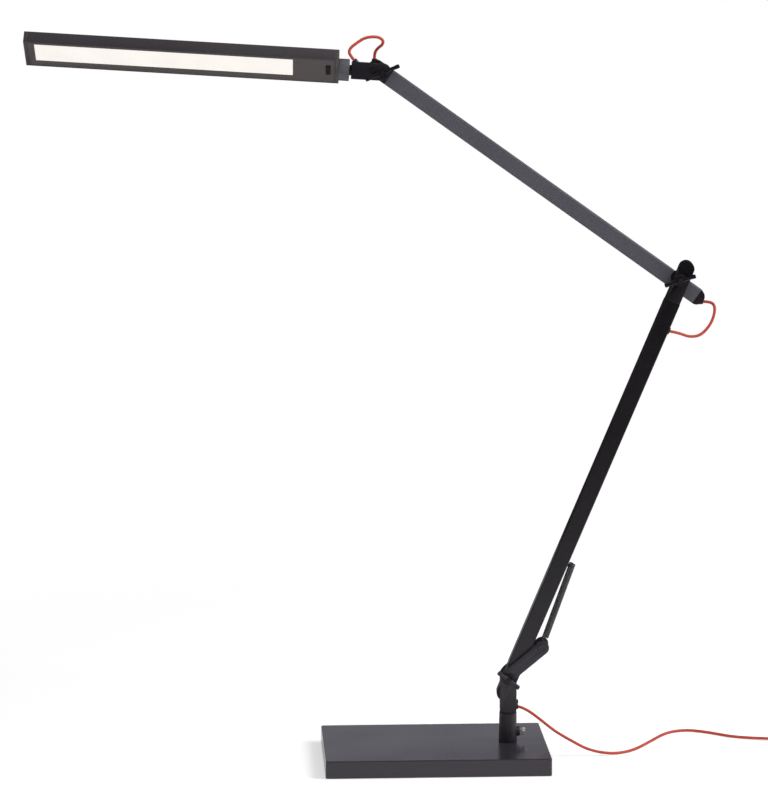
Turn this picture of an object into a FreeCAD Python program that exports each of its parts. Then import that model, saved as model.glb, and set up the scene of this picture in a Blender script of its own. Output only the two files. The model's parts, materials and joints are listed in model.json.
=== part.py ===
import FreeCAD, Part
import math
import os
import re

import Sketcher

Vector = FreeCAD.Vector

# Driving dimensions in millimetres and degrees. The frame has +Z up, +X along the base towards the post's
# end, +Y away from the front, and its origin on the table under the middle of the base.
DIMENSIONS = {
    # fits
    "fit_gap": 0.15,             # between pieces that are pushed or laid together
    "run_gap": 0.06,             # radial clearance of a turning fit
    "face_gap": 0.05,            # between faces that slide on each other
    # base
    "base_length": 200.0,
    "base_depth": 130.0,
    "base_height": 16.0,
    "base_shell": 1.5,
    "base_corner": 2.5,
    "base_edge": 0.8,
    "rim_lift": 0.6,             # cover rim above the table
    "pad_thickness": 1.8,
    # post and swivel
    "post_inset": 34.0,          # post axis from the base's right end
    "post_height": 26.9,
    "post_radius": 7.8,
    "post_foot_radius": 8.2,
    "post_floor": 4.2,           # solid foot under the socket
    "spigot_radius": 4.0,
    "nut_radius": 7.5,
    "nut_height": 6.5,
    "nut_recess": 1.7,           # nut face above the pad
    "bush_wall": 1.0,
    "bush_flange": 1.3,          # liner's rim on top of the post
    "flange_inset": 0.3,
    "pin_radius": 4.0,
    "pin_seat": 5.5,             # pin length held in the bracket
    "groove_depth": 0.8,
    "groove_width": 5.2,
    "boss_radius": 4.4,
    "boss_reach": 10.5,
    "clamp_height": 9.0,         # clamp screw above the base top
    "clamp_radius": 2.0,
    "clamp_head_radius": 3.2,
    "clamp_head_length": 4.8,
    # fork bracket
    "swivel_yaw": -3.5,          # arms turned on the post
    "bracket_gap": 1.6,
    "bracket_width": 14.8,
    "block_height": 9.0,
    "cheek_thickness": 3.0,
    "cheek_gap": 0.5,            # between a cheek and the arm
    "pivot_rise": 31.13,          # arm pivot above the bracket's underside
    "lever_rise": 2.5,           # lever root above the arm pivot
    "lever_length": 39.6,
    "lever_angle": 40.2,         # above horizontal
    "lever_width": 11.9,
    "lever_pin_radius": 2.0,
    "lever_pin_head_radius": 3.6,
    "lever_pin_head": 1.0,
    # cord outlet on the bracket
    "outlet_rise": 3.3,
    "outlet_radius": 2.6,
    "outlet_reach": 1.8,
    "hood_rise": 4.5,            # rounded hood above the outlet
    "hood_radius": 2.5,
    # arms
    "tube_size": 14.2,
    "tube_wall": 1.2,
    "tube_edge": 0.9,
    "plug_length": 18.0,
    "lower_length": 388.1,       # pivot to pivot
    "lower_lean": 22.5,         # from vertical
    "lower_offset": 1.95,        # lower tube's middle beside the line of its pivots
    "foot_setback": 12.0,        # tube end above the lower pivot
    "foot_reach": 14.4,          # middle of the round foot below the lower pivot
    "elbow_setback": 20.3,       # tube end below the elbow pivot
    "elbow_reach": 11.4,         # middle of the round top above the elbow pivot
    "fitting_width": 13.4,
    "upper_length": 318.0,       # elbow bolt to head bolt
    "upper_drop": 35.33,         # below horizontal, towards the elbow
    "elbow_offset": 4.1,         # elbow bolt above the upper tube's middle
    "front_offset": 1.35,        # head bolt above the upper tube's middle
    "rear_reach": 23.2,          # upper tube behind the elbow bolt
    "cap_plug": 12.0,
    "front_setback": 7.4,
    "front_reach": 6.4,
    "cord_boss_radius": 2.4,
    "cord_boss_reach": 1.2,
    "rear_outlet_drop": 5.2,     # cord outlet below the middle of the rear cap's end
    "front_outlet_shift": 1.4,   # cord outlet towards the head from the middle of the front fitting's end
    "entry_setback": 45.7,       # cord entry below the elbow pivot
    "entry_radius": 3.2,
    "entry_height": 1.4,
    # pivots
    "bolt_radius": 2.0,
    "bolt_head_radius": 4.8,
    "bolt_head_height": 2.4,
    "bolt_tail": 1.4,            # bolt end past the wing nut's hub
    "disc_thickness": 3.0,
    "disc_radius": 7.0,
    "washer_radius": 5.4,
    "washer_thickness": 1.0,
    "wing_span_base": 23.6,
    "wing_span_elbow": 28.5,
    "wing_span_head": 32.0,
    "wing_thickness": 3.2,
    "wing_height": 6.4,
    "wing_foot": 1.2,            # wings above the hub's seat
    "hub_radius": 5.0,
    "hub_top_radius": 3.9,
    "hub_height": 6.0,
    "wing_angle_base": -37.2,
    "wing_angle_elbow": 17.8,
    "wing_angle_head": 22.7,
    # balance spring
    "stud_distance": 114.3,      # spring stud above the lower pivot
    "stud_radius": 1.5,
    "stud_reach": 5.7,           # stud head's seat out from the tube
    "stud_head_radius": 2.6,
    "stud_head_height": 1.0,
    "hook_stand": 4.1,           # upper spring loop out from the tube
    "spring_wire": 1.0,
    "spring_radius": 2.7,        # middle of the wire
    "spring_turns": 45,
    "spring_low_tail": 8.0,      # from the lever pin to the first turn
    "spring_high_tail": 4.2,     # from the last turn to the stud
    "loop_slack": 0.3,           # between a spring loop and its anchor
    # head holder
    "holder_reach": 27.4,        # pivot to end face
    "holder_height": 14.6,
    "holder_wall": 5.0,          # wall that carries the roll shaft
    "pocket_length": 9.4,
    "pocket_height": 9.8,
    "pocket_depth": 9.0,
    "holder_screw_inset": 9.1,   # from the pivot
    "holder_screw_radius": 1.5,
    "holder_screw_head": 2.6,
    "holder_screw_sink": 2.0,
    "holder_screw_bite": 5.0,
    "inlet_inset": 22.6,         # cord inlet from the pivot
    "inlet_lean": 42.0,          # inlet boss towards the head
    "inlet_length": 4.6,
    "shaft_radius": 3.5,
    "shaft_bore": 1.9,
    "clip_radius": 4.4,
    "clip_thickness": 0.8,
    "shaft_tail": 0.6,
    "neck_length": 1.8,
    "neck_radius": 4.6,
    "collar_radius": 9.6,
    "collar_length": 9.15,
    # head
    "head_length": 274.6,
    "head_width": 40.8,
    "head_thickness": 10.9,
    "head_offset": 2.86,          # middle of the head above the roll axis
    "head_slope": 3.3,           # rise towards the free end
    "head_roll": 33.3,           # light face turned to the front
    "head_wall": 1.2,
    "head_edge": 0.7,
    "cap_plate": 3.0,
    "cap_tongue": 2.5,
    "window_length": 225.3,
    "window_width": 27.0,
    "window_inset": 9.2,         # from the free end
    "window_shift": -3.0,        # towards the upper edge
    "bezel_thickness": 1.2,
    "diffuser_lip": 2.0,
    "diffuser_thickness": 1.0,
    "led_board_width": 24.0,
    "led_board_thickness": 1.0,
    "led_length": 2.8,
    "led_width": 3.5,
    "led_height": 0.8,
    "led_pitch": 8.0,
    "driver_length": 30.0,
    "driver_width": 28.0,
    "driver_thickness": 1.2,
    "button_inset": 9.2,         # from the head's joint end
    "button_shift": -2.4,         # across the head
    "button_length": 3.6,
    "button_width": 14.5,
    "button_proud": 0.6,
    "button_play": 0.25,
    "button_lip": 1.0,
    "button_lip_height": 0.8,
    "button_travel": 0.8,
    "button_stem": 1.5,
    "switch_size": 6.0,
    "switch_height": 3.6,
    # cord
    "cord_diameter": 2.6,
    "coil_x": 373.0,
    "coil_y": 46.0,
    "coil_base": 2.6,            # middle of the lowest turns
    "coil_radius": 20.3,         # middle of the outermost turns
    "coil_step": 3.0,            # between neighbouring turns and layers
    "coil_turns": 3.334,         # in each of the four layers
    "coil_start": 239.5,         # angle where the cord joins the coil
    "coil_run": 30.0,            # straight run onto the coil
    "coil_lead": 20.0,           # straight end to the adapter
    # tie and plug-in adapter
    "tie_width": 5.0,
    "tie_thickness": 0.8,
    "tie_slack": 0.35,
    "tie_angle": 20.0,
    "tie_head": 4.5,
    "adapter_width": 36.0,
    "adapter_length": 46.0,
    "adapter_height": 24.0,
    "adapter_wall": 2.0,
    "adapter_edge": 3.0,
    "face_plate": 3.0,
    "relief_length": 14.0,
    "relief_root": 4.2,
    "relief_tip": 2.2,
    "plug_pin_radius": 2.0,
    "plug_pin_length": 19.0,
    "plug_pin_spacing": 19.0,
}

# Formulas that several pieces share
POST_X = "(base_length / 2 - post_inset)"
BRACKET_Z = "(base_height + post_height + bracket_gap)"
PIVOT_Z = f"({BRACKET_Z} + pivot_rise)"
LEVER_Z = f"({PIVOT_Z} + lever_rise)"
PIN_X = f"({POST_X} + lever_length * cos(lever_angle))"
PIN_Z = f"({LEVER_Z} + lever_length * sin(lever_angle))"
ELBOW_X = f"({POST_X} + lower_length * sin(lower_lean))"
ELBOW_Z = f"({PIVOT_Z} + lower_length * cos(lower_lean))"
BOLT_STEP = "(elbow_offset - front_offset)"
HEAD_X = f"({ELBOW_X} - upper_length * cos(upper_drop) - {BOLT_STEP} * sin(upper_drop))"
HEAD_Z = f"({ELBOW_Z} + upper_length * sin(upper_drop) - {BOLT_STEP} * cos(upper_drop))"
CHEEK_IN = "(tube_size / 2 + cheek_gap)"
CHEEK_OUT = f"({CHEEK_IN} + cheek_thickness)"
UPPER_Y = "(tube_size + disc_thickness)"
UPPER_BACK = f"({UPPER_Y} + tube_size / 2)"
BORE = "(bolt_radius + run_gap)"
PLUG_SIZE = "(tube_size - 2 * tube_wall - 2 * fit_gap)"
HEAD_END = "(holder_reach + neck_length + collar_length)"
FACE_Z = "(head_offset - head_thickness / 2)"
ROOF_Z = "(head_offset + head_thickness / 2 - head_wall)"
BEZEL_Z = f"({FACE_Z} + bezel_thickness)"
INNER_WIDTH = "(head_width - 2 * head_wall - 2 * fit_gap)"
COIL_TOP = "(coil_base + 3 * coil_step)"
ADAPTER_X = "(coil_x - coil_radius)"
RELIEF_Y = "(coil_y - coil_lead)"
ADAPTER_Y = f"({RELIEF_Y} - relief_length)"

doc = FreeCAD.newDocument("led_table_lamp")
sheet = doc.addObject("Spreadsheet::Sheet", "Dims")
for row, (name, value) in enumerate(DIMENSIONS.items(), start=1):
    sheet.set(f"A{row}", name)
    sheet.set(f"B{row}", str(value))
    sheet.setAlias(f"B{row}", name)
doc.recompute()

nodes = []


def expression(formula):
    """The formula with every dimension's name read from the sheet."""
    def named(found):
        return "Dims." + found[0] if found[0] in DIMENSIONS else found[0]

    return re.sub(r"[a-z][a-z_]*", named, str(formula))


def number(formula):
    """The formula's value now."""
    return float(sheet.evalExpression(expression(formula)))


def bind(obj, **formulas):
    """Tie the object's properties to the sheet."""
    for prop, formula in formulas.items():
        obj.setExpression(prop, expression(formula))


def frame(x="0", y="0", z="0", *turns):
    """A placement formula: the turns are (axis, angle) pairs, the outermost first."""
    axes = {"X": "1; 0; 0", "Y": "0; 1; 0", "Z": "0; 0; 1"}
    rotation = " * ".join(
        f"create(<<rotation>>; create(<<vector>>; {axes[axis]}); {angle})"
        for axis, angle in turns or [("Z", "0")]
    )
    return f"create(<<placement>>; create(<<vector>>; {x}; {y}; {z}); {rotation})"


# Everything above the post turns about its axis, so these pieces are placed in the swivel's own frame
SWIVEL = frame(f"{POST_X} * (1 - cos(swivel_yaw))", f"-{POST_X} * sin(swivel_yaw)", "0", ("Z", "swivel_yaw"))
LOWER_ON_SWIVEL = frame(POST_X, "0", PIVOT_Z, ("Y", "lower_lean"))
UPPER_ON_SWIVEL = frame(ELBOW_X, UPPER_Y, ELBOW_Z, ("Y", "upper_drop - 90"))
HOLDER_ON_SWIVEL = frame(HEAD_X, "0", HEAD_Z, ("Y", "head_slope"))
LOWER = SWIVEL + " * " + LOWER_ON_SWIVEL
UPPER = SWIVEL + " * " + UPPER_ON_SWIVEL
HOLDER = SWIVEL + " * " + HOLDER_ON_SWIVEL
HEAD = HOLDER + " * " + frame("0", "0", "0", ("X", "-head_roll"))
TURNED = {"X": [("Y", "90")], "Y": [("X", "-90")], "Z": [], "-Y": [("X", "90")]}


def box(name, x, y, z, *turns):
    """A block from (low, high) formulas on each axis, or a turned block from its corner."""
    made = doc.addObject("Part::Box", name)
    bind(made, Length=f"{x[1]} - ({x[0]})", Width=f"{y[1]} - ({y[0]})", Height=f"{z[1]} - ({z[0]})")
    bind(made, Placement=frame(x[0], y[0], z[0], *turns))
    return made


def rod(name, radius, start, length, axis="Z"):
    """A cylinder from its start point along an axis."""
    made = doc.addObject("Part::Cylinder", name)
    bind(made, Radius=radius, Height=length, Placement=frame(*start, *TURNED[axis]))
    return made


def cone(name, radius, tip_radius, start, length, axis="Z"):
    made = doc.addObject("Part::Cone", name)
    bind(made, Radius1=radius, Radius2=tip_radius, Height=length, Placement=frame(*start, *TURNED[axis]))
    return made


def fuse(name, *pieces):
    made = doc.addObject("Part::MultiFuse", name)
    made.Shapes = list(pieces)
    made.Refine = True
    return made


def cut(name, base, *tools):
    made = doc.addObject("Part::Cut", name)
    made.Base = base
    made.Tool = tools[0] if len(tools) == 1 else fuse(name + "_tools", *tools)
    return made


def group(name, *pieces):
    made = doc.addObject("Part::Compound", name)
    made.Links = list(pieces)
    return made


def node(label, made, place=None):
    """Name a finished sub-part and put it in its place."""
    made.Label = label
    if place:
        bind(made, Placement=place)
    nodes.append(made)
    return made


def ring(name, radius, bore, start, length, axis="Z"):
    inside = rod(name + "_bore", bore, start, length, axis)
    return cut(name, rod(name + "_rim", radius, start, length, axis), inside)


def sketch_on(body, name, role="XY_Plane"):
    made = body.newObject("Sketcher::SketchObject", name)
    plane = next(item for item in body.Origin.OriginFeatures if item.Role == role)
    made.AttachmentSupport = [(plane, "")]
    made.MapMode = "FlatFace"
    return made


def outline(sketch, points):
    """A closed polygon whose corners are tied to the sheet, from (across, up) formulas."""
    places = [Vector(number(across), number(up), 0) for across, up in points]
    lines = [
        sketch.addGeometry(Part.LineSegment(start, end))
        for start, end in zip(places, places[1:] + places[:1])
    ]
    for line, following in zip(lines, lines[1:] + lines[:1]):
        sketch.addConstraint(Sketcher.Constraint("Coincident", line, 2, following, 1))
    for line, (across, up), place in zip(lines, points, places):
        for kind, formula, value in (("DistanceX", across, place.x), ("DistanceY", up, place.y)):
            tie = sketch.addConstraint(Sketcher.Constraint(kind, -1, 1, line, 1, value))
            sketch.setExpression(f"Constraints[{tie}]", expression(formula))


def rectangle(sketch, across, up):
    outline(sketch, [(across[0], up[0]), (across[1], up[0]), (across[1], up[1]), (across[0], up[1])])


def circle(sketch, across, up, radius):
    centre = Vector(number(across), number(up), 0)
    made = sketch.addGeometry(Part.Circle(centre, Vector(0, 0, 1), number(radius)))
    sizes = (
        Sketcher.Constraint("DistanceX", -1, 1, made, 3, centre.x),
        Sketcher.Constraint("DistanceY", -1, 1, made, 3, centre.y),
        Sketcher.Constraint("Radius", made, number(radius)),
    )
    for size, formula in zip(sizes, (across, up, radius)):
        tie = sketch.addConstraint(size)
        sketch.setExpression(f"Constraints[{tie}]", expression(formula))


def pad(body, sketch, length):
    made = body.newObject("PartDesign::Pad", sketch.Name + "_pad")
    made.Profile = sketch
    bind(made, Length=length)
    return made


def pocket(body, sketch, depth):
    """Cut upwards from the sketch's plane."""
    made = body.newObject("PartDesign::Pocket", sketch.Name + "_pocket")
    made.Profile = sketch
    made.Reversed = True
    bind(made, Length=depth)
    return made


def soften(body, name, radius, chosen):
    """Round the edges of the last feature that the test picks."""
    doc.recompute()
    base = body.Tip
    picked = [f"Edge{index}" for index, edge in enumerate(base.Shape.Edges, start=1) if chosen(edge)]
    made = body.newObject("PartDesign::Fillet", name)
    made.Base = (base, picked)
    bind(made, Radius=radius)
    return made


def rounded(name, block, radius, chosen):
    """The block with the edges that the test picks rounded."""
    doc.recompute()
    made = doc.addObject("Part::Fillet", name)
    made.Base = block
    size = number(radius)
    made.Edges = [
        (index, size, size) for index, edge in enumerate(block.Shape.Edges, start=1) if chosen(edge)
    ]
    return made


def along(edge, axis):
    """Whether a straight edge runs along an axis."""
    if edge.Curve.TypeId != "Part::GeomLine":
        return False
    return abs(abs(edge.tangentAt(edge.FirstParameter).dot(axis)) - 1) < 1e-6


def plate(label, place, across, up, thickness, windows=(), role="XY_Plane"):
    """A padded plate with rectangular windows, as one body."""
    body = doc.addObject("PartDesign::Body", label + "_body")
    sketch = sketch_on(body, label + "_outline", role)
    rectangle(sketch, across, up)
    for window in windows:
        rectangle(sketch, *window)
    pad(body, sketch, thickness)
    return node(label, body, place)


def half(formula):
    return f"-({formula}) / 2", f"({formula}) / 2"


def make_base():
    cover = doc.addObject("PartDesign::Body", "base_cover_body")
    shell = sketch_on(cover, "cover_outline")
    rectangle(shell, half("base_length"), half("base_depth"))
    pad(cover, shell, "base_height - rim_lift")
    soften(cover, "cover_corners", "base_corner", lambda edge: along(edge, Vector(0, 0, 1)))
    top = number("base_height - rim_lift")
    soften(cover, "cover_edge", "base_edge", lambda edge: abs(edge.BoundBox.ZMin - top) < 1e-6)
    hollow = sketch_on(cover, "cover_hollow")
    rectangle(hollow, half("base_length - 2 * base_shell"), half("base_depth - 2 * base_shell"))
    pocket(cover, hollow, "base_height - rim_lift - base_shell")
    spigot_hole = sketch_on(cover, "cover_hole")
    circle(spigot_hole, POST_X, "0", "spigot_radius + fit_gap")
    pocket(cover, spigot_hole, "base_height")
    node("base_cover", cover, frame("0", "0", "rim_lift"))

    inside = [half(f"{size} - 2 * base_shell - 2 * fit_gap") for size in ("base_length", "base_depth")]
    plate("base_pad", frame(), *inside, "pad_thickness")
    weight = doc.addObject("PartDesign::Body", "base_weight_body")
    slab = sketch_on(weight, "weight_outline")
    rectangle(slab, *inside)
    circle(slab, POST_X, "0", "spigot_radius + fit_gap")
    pad(weight, slab, "base_height - base_shell - fit_gap - pad_thickness")
    nut_pocket = sketch_on(weight, "weight_pocket")
    circle(nut_pocket, POST_X, "0", "nut_radius + 4 * fit_gap")
    pocket(weight, nut_pocket, "nut_recess + nut_height")
    node("base_weight", weight, frame("0", "0", "pad_thickness"))

    nut = doc.addObject("Part::Prism", "post_nut_hex")
    nut.Polygon = 6
    bind(nut, Circumradius="nut_radius", Height="nut_height")
    bind(nut, Placement=frame(POST_X, "0", "pad_thickness + nut_recess"))
    thread = rod("post_nut_thread", "spigot_radius", (POST_X, "0", "0"), "base_height")
    node("post_nut", cut("post_nut_cut", nut, thread))


def make_post():
    clamp_z = "(base_height + clamp_height)"
    floor_z = "(base_height + post_floor)"
    bush_radius = "(pin_radius + run_gap + bush_wall)"
    socket_depth = "(post_height - post_floor)"
    foot = (POST_X, "0", "base_height")
    column = cone("post_column", "post_foot_radius", "post_radius", foot, "post_height")
    spigot_foot = "(pad_thickness + nut_recess / 2)"
    spigot = rod("post_spigot", "spigot_radius", (POST_X, "0", spigot_foot), f"base_height - {spigot_foot}")
    boss = rod("post_boss", "boss_radius", (POST_X, "0", clamp_z), "boss_reach", "X")
    socket = rod("post_socket", bush_radius, (POST_X, "0", floor_z), socket_depth)
    clamp_bore = "clamp_radius + run_gap"
    clamp_hole = rod("post_clamp_hole", clamp_bore, (POST_X, "0", clamp_z), "2 * boss_reach", "X")
    node("post", cut("post_cut", fuse("post_solid", column, spigot, boss), socket, clamp_hole))

    liner = ring("bush_ring", bush_radius, "pin_radius + run_gap", (POST_X, "0", floor_z), socket_depth)
    rim_foot = (POST_X, "0", "base_height + post_height")
    rim = ring("bush_rim", "post_radius - flange_inset", "pin_radius + run_gap", rim_foot, "bush_flange")
    bush_hole = rod("bush_hole", clamp_bore, (POST_X, "0", clamp_z), "boss_reach", "X")
    node("post_bush", cut("post_bush_cut", fuse("post_bush_solid", liner, rim), bush_hole))

    tip = f"({POST_X} + pin_radius - groove_depth + fit_gap)"
    head = f"({POST_X} + boss_reach + fit_gap)"
    shank = rod("clamp_shank", "clamp_radius", (tip, "0", clamp_z), f"{head} - {tip}", "X")
    knob = rod("clamp_knob", "clamp_head_radius", (head, "0", clamp_z), "clamp_head_length", "X")
    node("thumbscrew", fuse("thumbscrew_solid", shank, knob))


def make_bracket():
    width = (f"{POST_X} - bracket_width / 2", f"{POST_X} + bracket_width / 2")
    across = f"2 * {CHEEK_OUT}"
    solids = [box("bracket_block", width, half(across), (BRACKET_Z, f"{BRACKET_Z} + block_height"))]
    for side, low in (("front", f"-{CHEEK_OUT}"), ("rear", CHEEK_IN)):
        deep = (low, f"{low} + cheek_thickness")
        solids.append(box(f"cheek_{side}", width, deep, (BRACKET_Z, PIVOT_Z)))
        knee, root, lever_end = (POST_X, low, PIVOT_Z), (POST_X, low, LEVER_Z), (PIN_X, low, PIN_Z)
        solids.append(rod(f"knee_{side}", "bracket_width / 2", knee, "cheek_thickness", "Y"))
        solids.append(rod(f"lever_root_{side}", "lever_width / 2", root, "cheek_thickness", "Y"))
        solids.append(rod(f"lever_end_{side}", "lever_width / 2", lever_end, "cheek_thickness", "Y"))
        lever = doc.addObject("Part::Box", f"lever_{side}")
        bind(lever, Length="lever_length", Width="cheek_thickness", Height="lever_width")
        lever_x = f"{POST_X} + lever_width / 2 * sin(lever_angle)"
        lever_z = f"{LEVER_Z} - lever_width / 2 * cos(lever_angle)"
        bind(lever, Placement=frame(lever_x, low, lever_z, ("Y", "-lever_angle")))
        solids.append(lever)
    pin_hole = rod("bracket_pin_hole", "pin_radius", (POST_X, "0", BRACKET_Z), "pin_seat")
    pivot_hole = rod("bracket_pivot_hole", "bolt_radius", (POST_X, f"-{CHEEK_OUT}", PIVOT_Z), across, "Y")
    anchor = (PIN_X, f"-{CHEEK_OUT}", PIN_Z)
    anchor_hole = rod("bracket_anchor_hole", "lever_pin_radius", anchor, across, "Y")
    solid = fuse("bracket_solid", *solids)
    node("swivel_bracket", cut("bracket_cut", solid, pin_hole, pivot_hole, anchor_hole), SWIVEL)

    foot_z = "(base_height + post_floor + 2 * fit_gap)"
    pin = rod("swivel_pin_rod", "pin_radius", (POST_X, "0", foot_z), f"{BRACKET_Z} + pin_seat - {foot_z}")
    groove_foot = (POST_X, "0", "base_height + clamp_height - groove_width / 2")
    groove = ring("pin_groove", "2 * pin_radius", "pin_radius - groove_depth", groove_foot, "groove_width")
    node("swivel_pin", cut("swivel_pin_cut", pin, groove), SWIVEL)

    shank = rod("lever_pin_rod", "lever_pin_radius", anchor, across, "Y")
    far_anchor = (PIN_X, CHEEK_OUT, PIN_Z)
    heads = [
        rod("lever_pin_front", "lever_pin_head_radius", anchor, "lever_pin_head", "-Y"),
        rod("lever_pin_rear", "lever_pin_head_radius", far_anchor, "lever_pin_head", "Y"),
    ]
    node("lever_pin", fuse("lever_pin_solid", shank, *heads), SWIVEL)

    thin = "cheek_gap - face_gap"
    washers = [
        ring(f"pivot_washer_{side}", "washer_radius", BORE, (POST_X, low, PIVOT_Z), thin, "Y")
        for side, low in (("front", f"-{CHEEK_IN}"), ("rear", f"{CHEEK_IN} - cheek_gap + face_gap"))
    ]
    node("pivot_washers", group("pivot_washer_pair", *washers), SWIVEL)

    outlet = (f"{POST_X} + bracket_width / 2", "0", f"{BRACKET_Z} + outlet_rise")
    bump = cone("cord_outlet", "outlet_radius", "outlet_radius * 0.85", outlet, "outlet_reach", "X")
    above = (outlet[0], "0", f"{outlet[2]} + hood_rise")
    hood = cone("cord_hood", "hood_radius", "hood_radius * 0.7", above, "outlet_reach", "X")
    node("cord_grommet", fuse("cord_outlet_solid", bump, hood), SWIVEL)


def make_bolt(label, x, z, back, front):
    """A bolt from the back face towards the front, ending past its wing nut."""
    reach = f"({back} + {front} + washer_thickness + hub_height + bolt_tail)"
    shank = rod(label + "_shank", "bolt_radius", (x, back, z), reach, "-Y")
    crown = "bolt_head_radius * 0.7"
    head = cone(label + "_head", "bolt_head_radius", crown, (x, back, z), "bolt_head_height", "Y")
    node(label, fuse(label + "_solid", shank, head), SWIVEL)


def make_wing_nut(label, x, z, front, span, angle):
    """A wing nut on the washer that lies on the front face."""
    hub = cone(label + "_hub", "hub_radius", "hub_top_radius", ("0", "0", "0"), "hub_height")
    reach = f"({span} / 2 - wing_thickness / 2)"
    tall = ("wing_foot", "wing_foot + wing_height")
    bar = box(label + "_bar", half(f"2 * {reach}"), half("wing_thickness"), tall)
    tips = [
        rod(f"{label}_tip_{side}", "wing_thickness / 2", (f"{sign}{reach}", "0", "wing_foot"), "wing_height")
        for side, sign in (("right", ""), ("left", "-"))
    ]
    bore = rod(label + "_bore", BORE, ("0", "0", "0"), "wing_foot + wing_height")
    gate = rod(label + "_gate", "hub_top_radius", ("0", "0", "hub_height"), "wing_height")
    wings = cut(label + "_wings", fuse(label + "_bars", bar, *tips), gate)
    place = SWIVEL + " * " + frame(x, f"-({front} + washer_thickness)", z, ("X", "90"), ("Z", angle))
    node(label, cut(label + "_cut", fuse(label + "_solid", hub, wings), bore), place)


def make_pivots():
    make_bolt("pivot_bolt", POST_X, PIVOT_Z, CHEEK_OUT, CHEEK_OUT)
    make_bolt("elbow_bolt", ELBOW_X, ELBOW_Z, UPPER_BACK, "tube_size / 2")
    make_bolt("head_bolt", HEAD_X, HEAD_Z, UPPER_BACK, "tube_size / 2")
    for label, x, z in (("elbow_disc", ELBOW_X, ELBOW_Z), ("head_disc", HEAD_X, HEAD_Z)):
        start = (x, "tube_size / 2 + face_gap", z)
        thick = "disc_thickness - face_gap"
        node(label, ring(label + "_ring", "disc_radius", BORE, start, thick, "Y"), SWIVEL)
    seats = (
        ("base", POST_X, PIVOT_Z, CHEEK_OUT, "pivot"),
        ("elbow", ELBOW_X, ELBOW_Z, "tube_size / 2", "elbow"),
        ("head", HEAD_X, HEAD_Z, "tube_size / 2", "head"),
    )
    for nut, x, z, front, joint in seats:
        start = (x, f"-({front} + face_gap)", z)
        thin = "washer_thickness - 2 * face_gap"
        label = joint + "_nut_washer"
        node(label, ring(label + "_ring", "washer_radius", BORE, start, thin, "-Y"), SWIVEL)
        make_wing_nut("wing_nut_" + nut, x, z, front, "wing_span_" + nut, "wing_angle_" + nut)


def tube(label, place, low, high, middle):
    """A square tube along its arm, padded from its section."""
    body = doc.addObject("PartDesign::Body", label + "_body")
    section = sketch_on(body, label + "_section")
    for size in ("tube_size", "tube_size - 2 * tube_wall"):
        rectangle(section, (f"{middle} - ({size}) / 2", f"{middle} + ({size}) / 2"), half(size))
    pad(body, section, f"{high} - ({low})")
    corner = number("tube_size / 2")
    soften(body, label + "_edges", "tube_edge", lambda edge: along(edge, Vector(0, 0, 1))
           and abs(abs(edge.BoundBox.YMax) - corner) < 1e-6)
    return node(label, body, place + " * " + frame("0", "0", low))


def arm_fitting(label, width, middle, tube_end, round_end, plug, place, bolt=None, extras=(), bolt_x="0"):
    """A plug in the tube's end, a body past it with a round end, and the bolt's bore."""
    inwards = "-" if number(round_end) > number(tube_end) else "+"
    plug_end = f"({tube_end} {inwards} {plug})"
    low, high = (plug_end, tube_end) if inwards == "-" else (tube_end, plug_end)
    plug_x = (f"{middle} - {PLUG_SIZE} / 2", f"{middle} + {PLUG_SIZE} / 2")
    solids = [box(label + "_plug", plug_x, half(PLUG_SIZE), (low, high))]
    low, high = (tube_end, round_end) if inwards == "-" else (round_end, tube_end)
    if abs(number(low) - number(high)) > 1e-6:
        body_x = (f"{middle} - {width} / 2", f"{middle} + {width} / 2")
        solids.append(box(label + "_block", body_x, half("tube_size"), (low, high)))
    half_round = doc.addObject("Part::Cylinder", label + "_round")
    half_round.Angle = 180
    bind(half_round, Radius=f"{width} / 2", Height="tube_size")
    facing = "180" if inwards == "-" else "0"
    bind(half_round, Placement=frame(middle, "-tube_size / 2", round_end, ("X", "-90"), ("Z", facing)))
    solids.append(half_round)
    made = fuse(label + "_solid", *solids, *extras)
    if bolt:
        bore = rod(label + "_bore", BORE, (bolt_x, "-tube_size / 2", bolt), "tube_size", "Y")
        made = cut(label + "_cut", made, bore)
    node(label, made, place)


def make_lower_arm():
    low, high = "foot_setback", "(lower_length - elbow_setback)"
    middle, face = "lower_offset", "(lower_offset + tube_size / 2)"
    tube("lower_arm_tube", LOWER, low, high, middle)
    foot, top = "-foot_reach", "(lower_length + elbow_reach)"
    arm_fitting("lower_foot_fitting", "fitting_width", middle, low, foot, "plug_length", LOWER, "0")
    arm_fitting("lower_top_fitting", "fitting_width", middle, high, top, "plug_length", LOWER, "lower_length")
    wall = f"({face} - tube_wall)"
    entry = "(lower_length - entry_setback)"
    cord_x = f"({wall} - cord_diameter / 2 - fit_gap)"
    cord_low = "(foot_setback + plug_length + fit_gap)"
    inner_cord = rod("lower_cord_rod", "cord_diameter / 2", (cord_x, "0", cord_low), f"{entry} - {cord_low}")
    node("lower_arm_cord", group("lower_cord_solid", inner_cord), LOWER)
    entry_disc = rod("entry_disc", "entry_radius", (face, "0", entry), "entry_height", "X")
    node("lower_arm_grommet", group("entry_solid", entry_disc), LOWER)
    stud_shank = rod("stud_shank", "stud_radius", (face, "0", "stud_distance"), "stud_reach", "X")
    stud_seat = (f"{face} + stud_reach", "0", "stud_distance")
    stud_head = rod("stud_head", "stud_head_radius", stud_seat, "stud_head_height", "X")
    node("spring_stud", fuse("stud_solid", stud_shank, stud_head), LOWER)


def boss_length(shift):
    """Length of a cord boss from beside the middle of a round end to just outside it."""
    return f"sqrt((tube_size / 2) ^ 2 - {shift} ^ 2) + cord_boss_reach"


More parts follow.
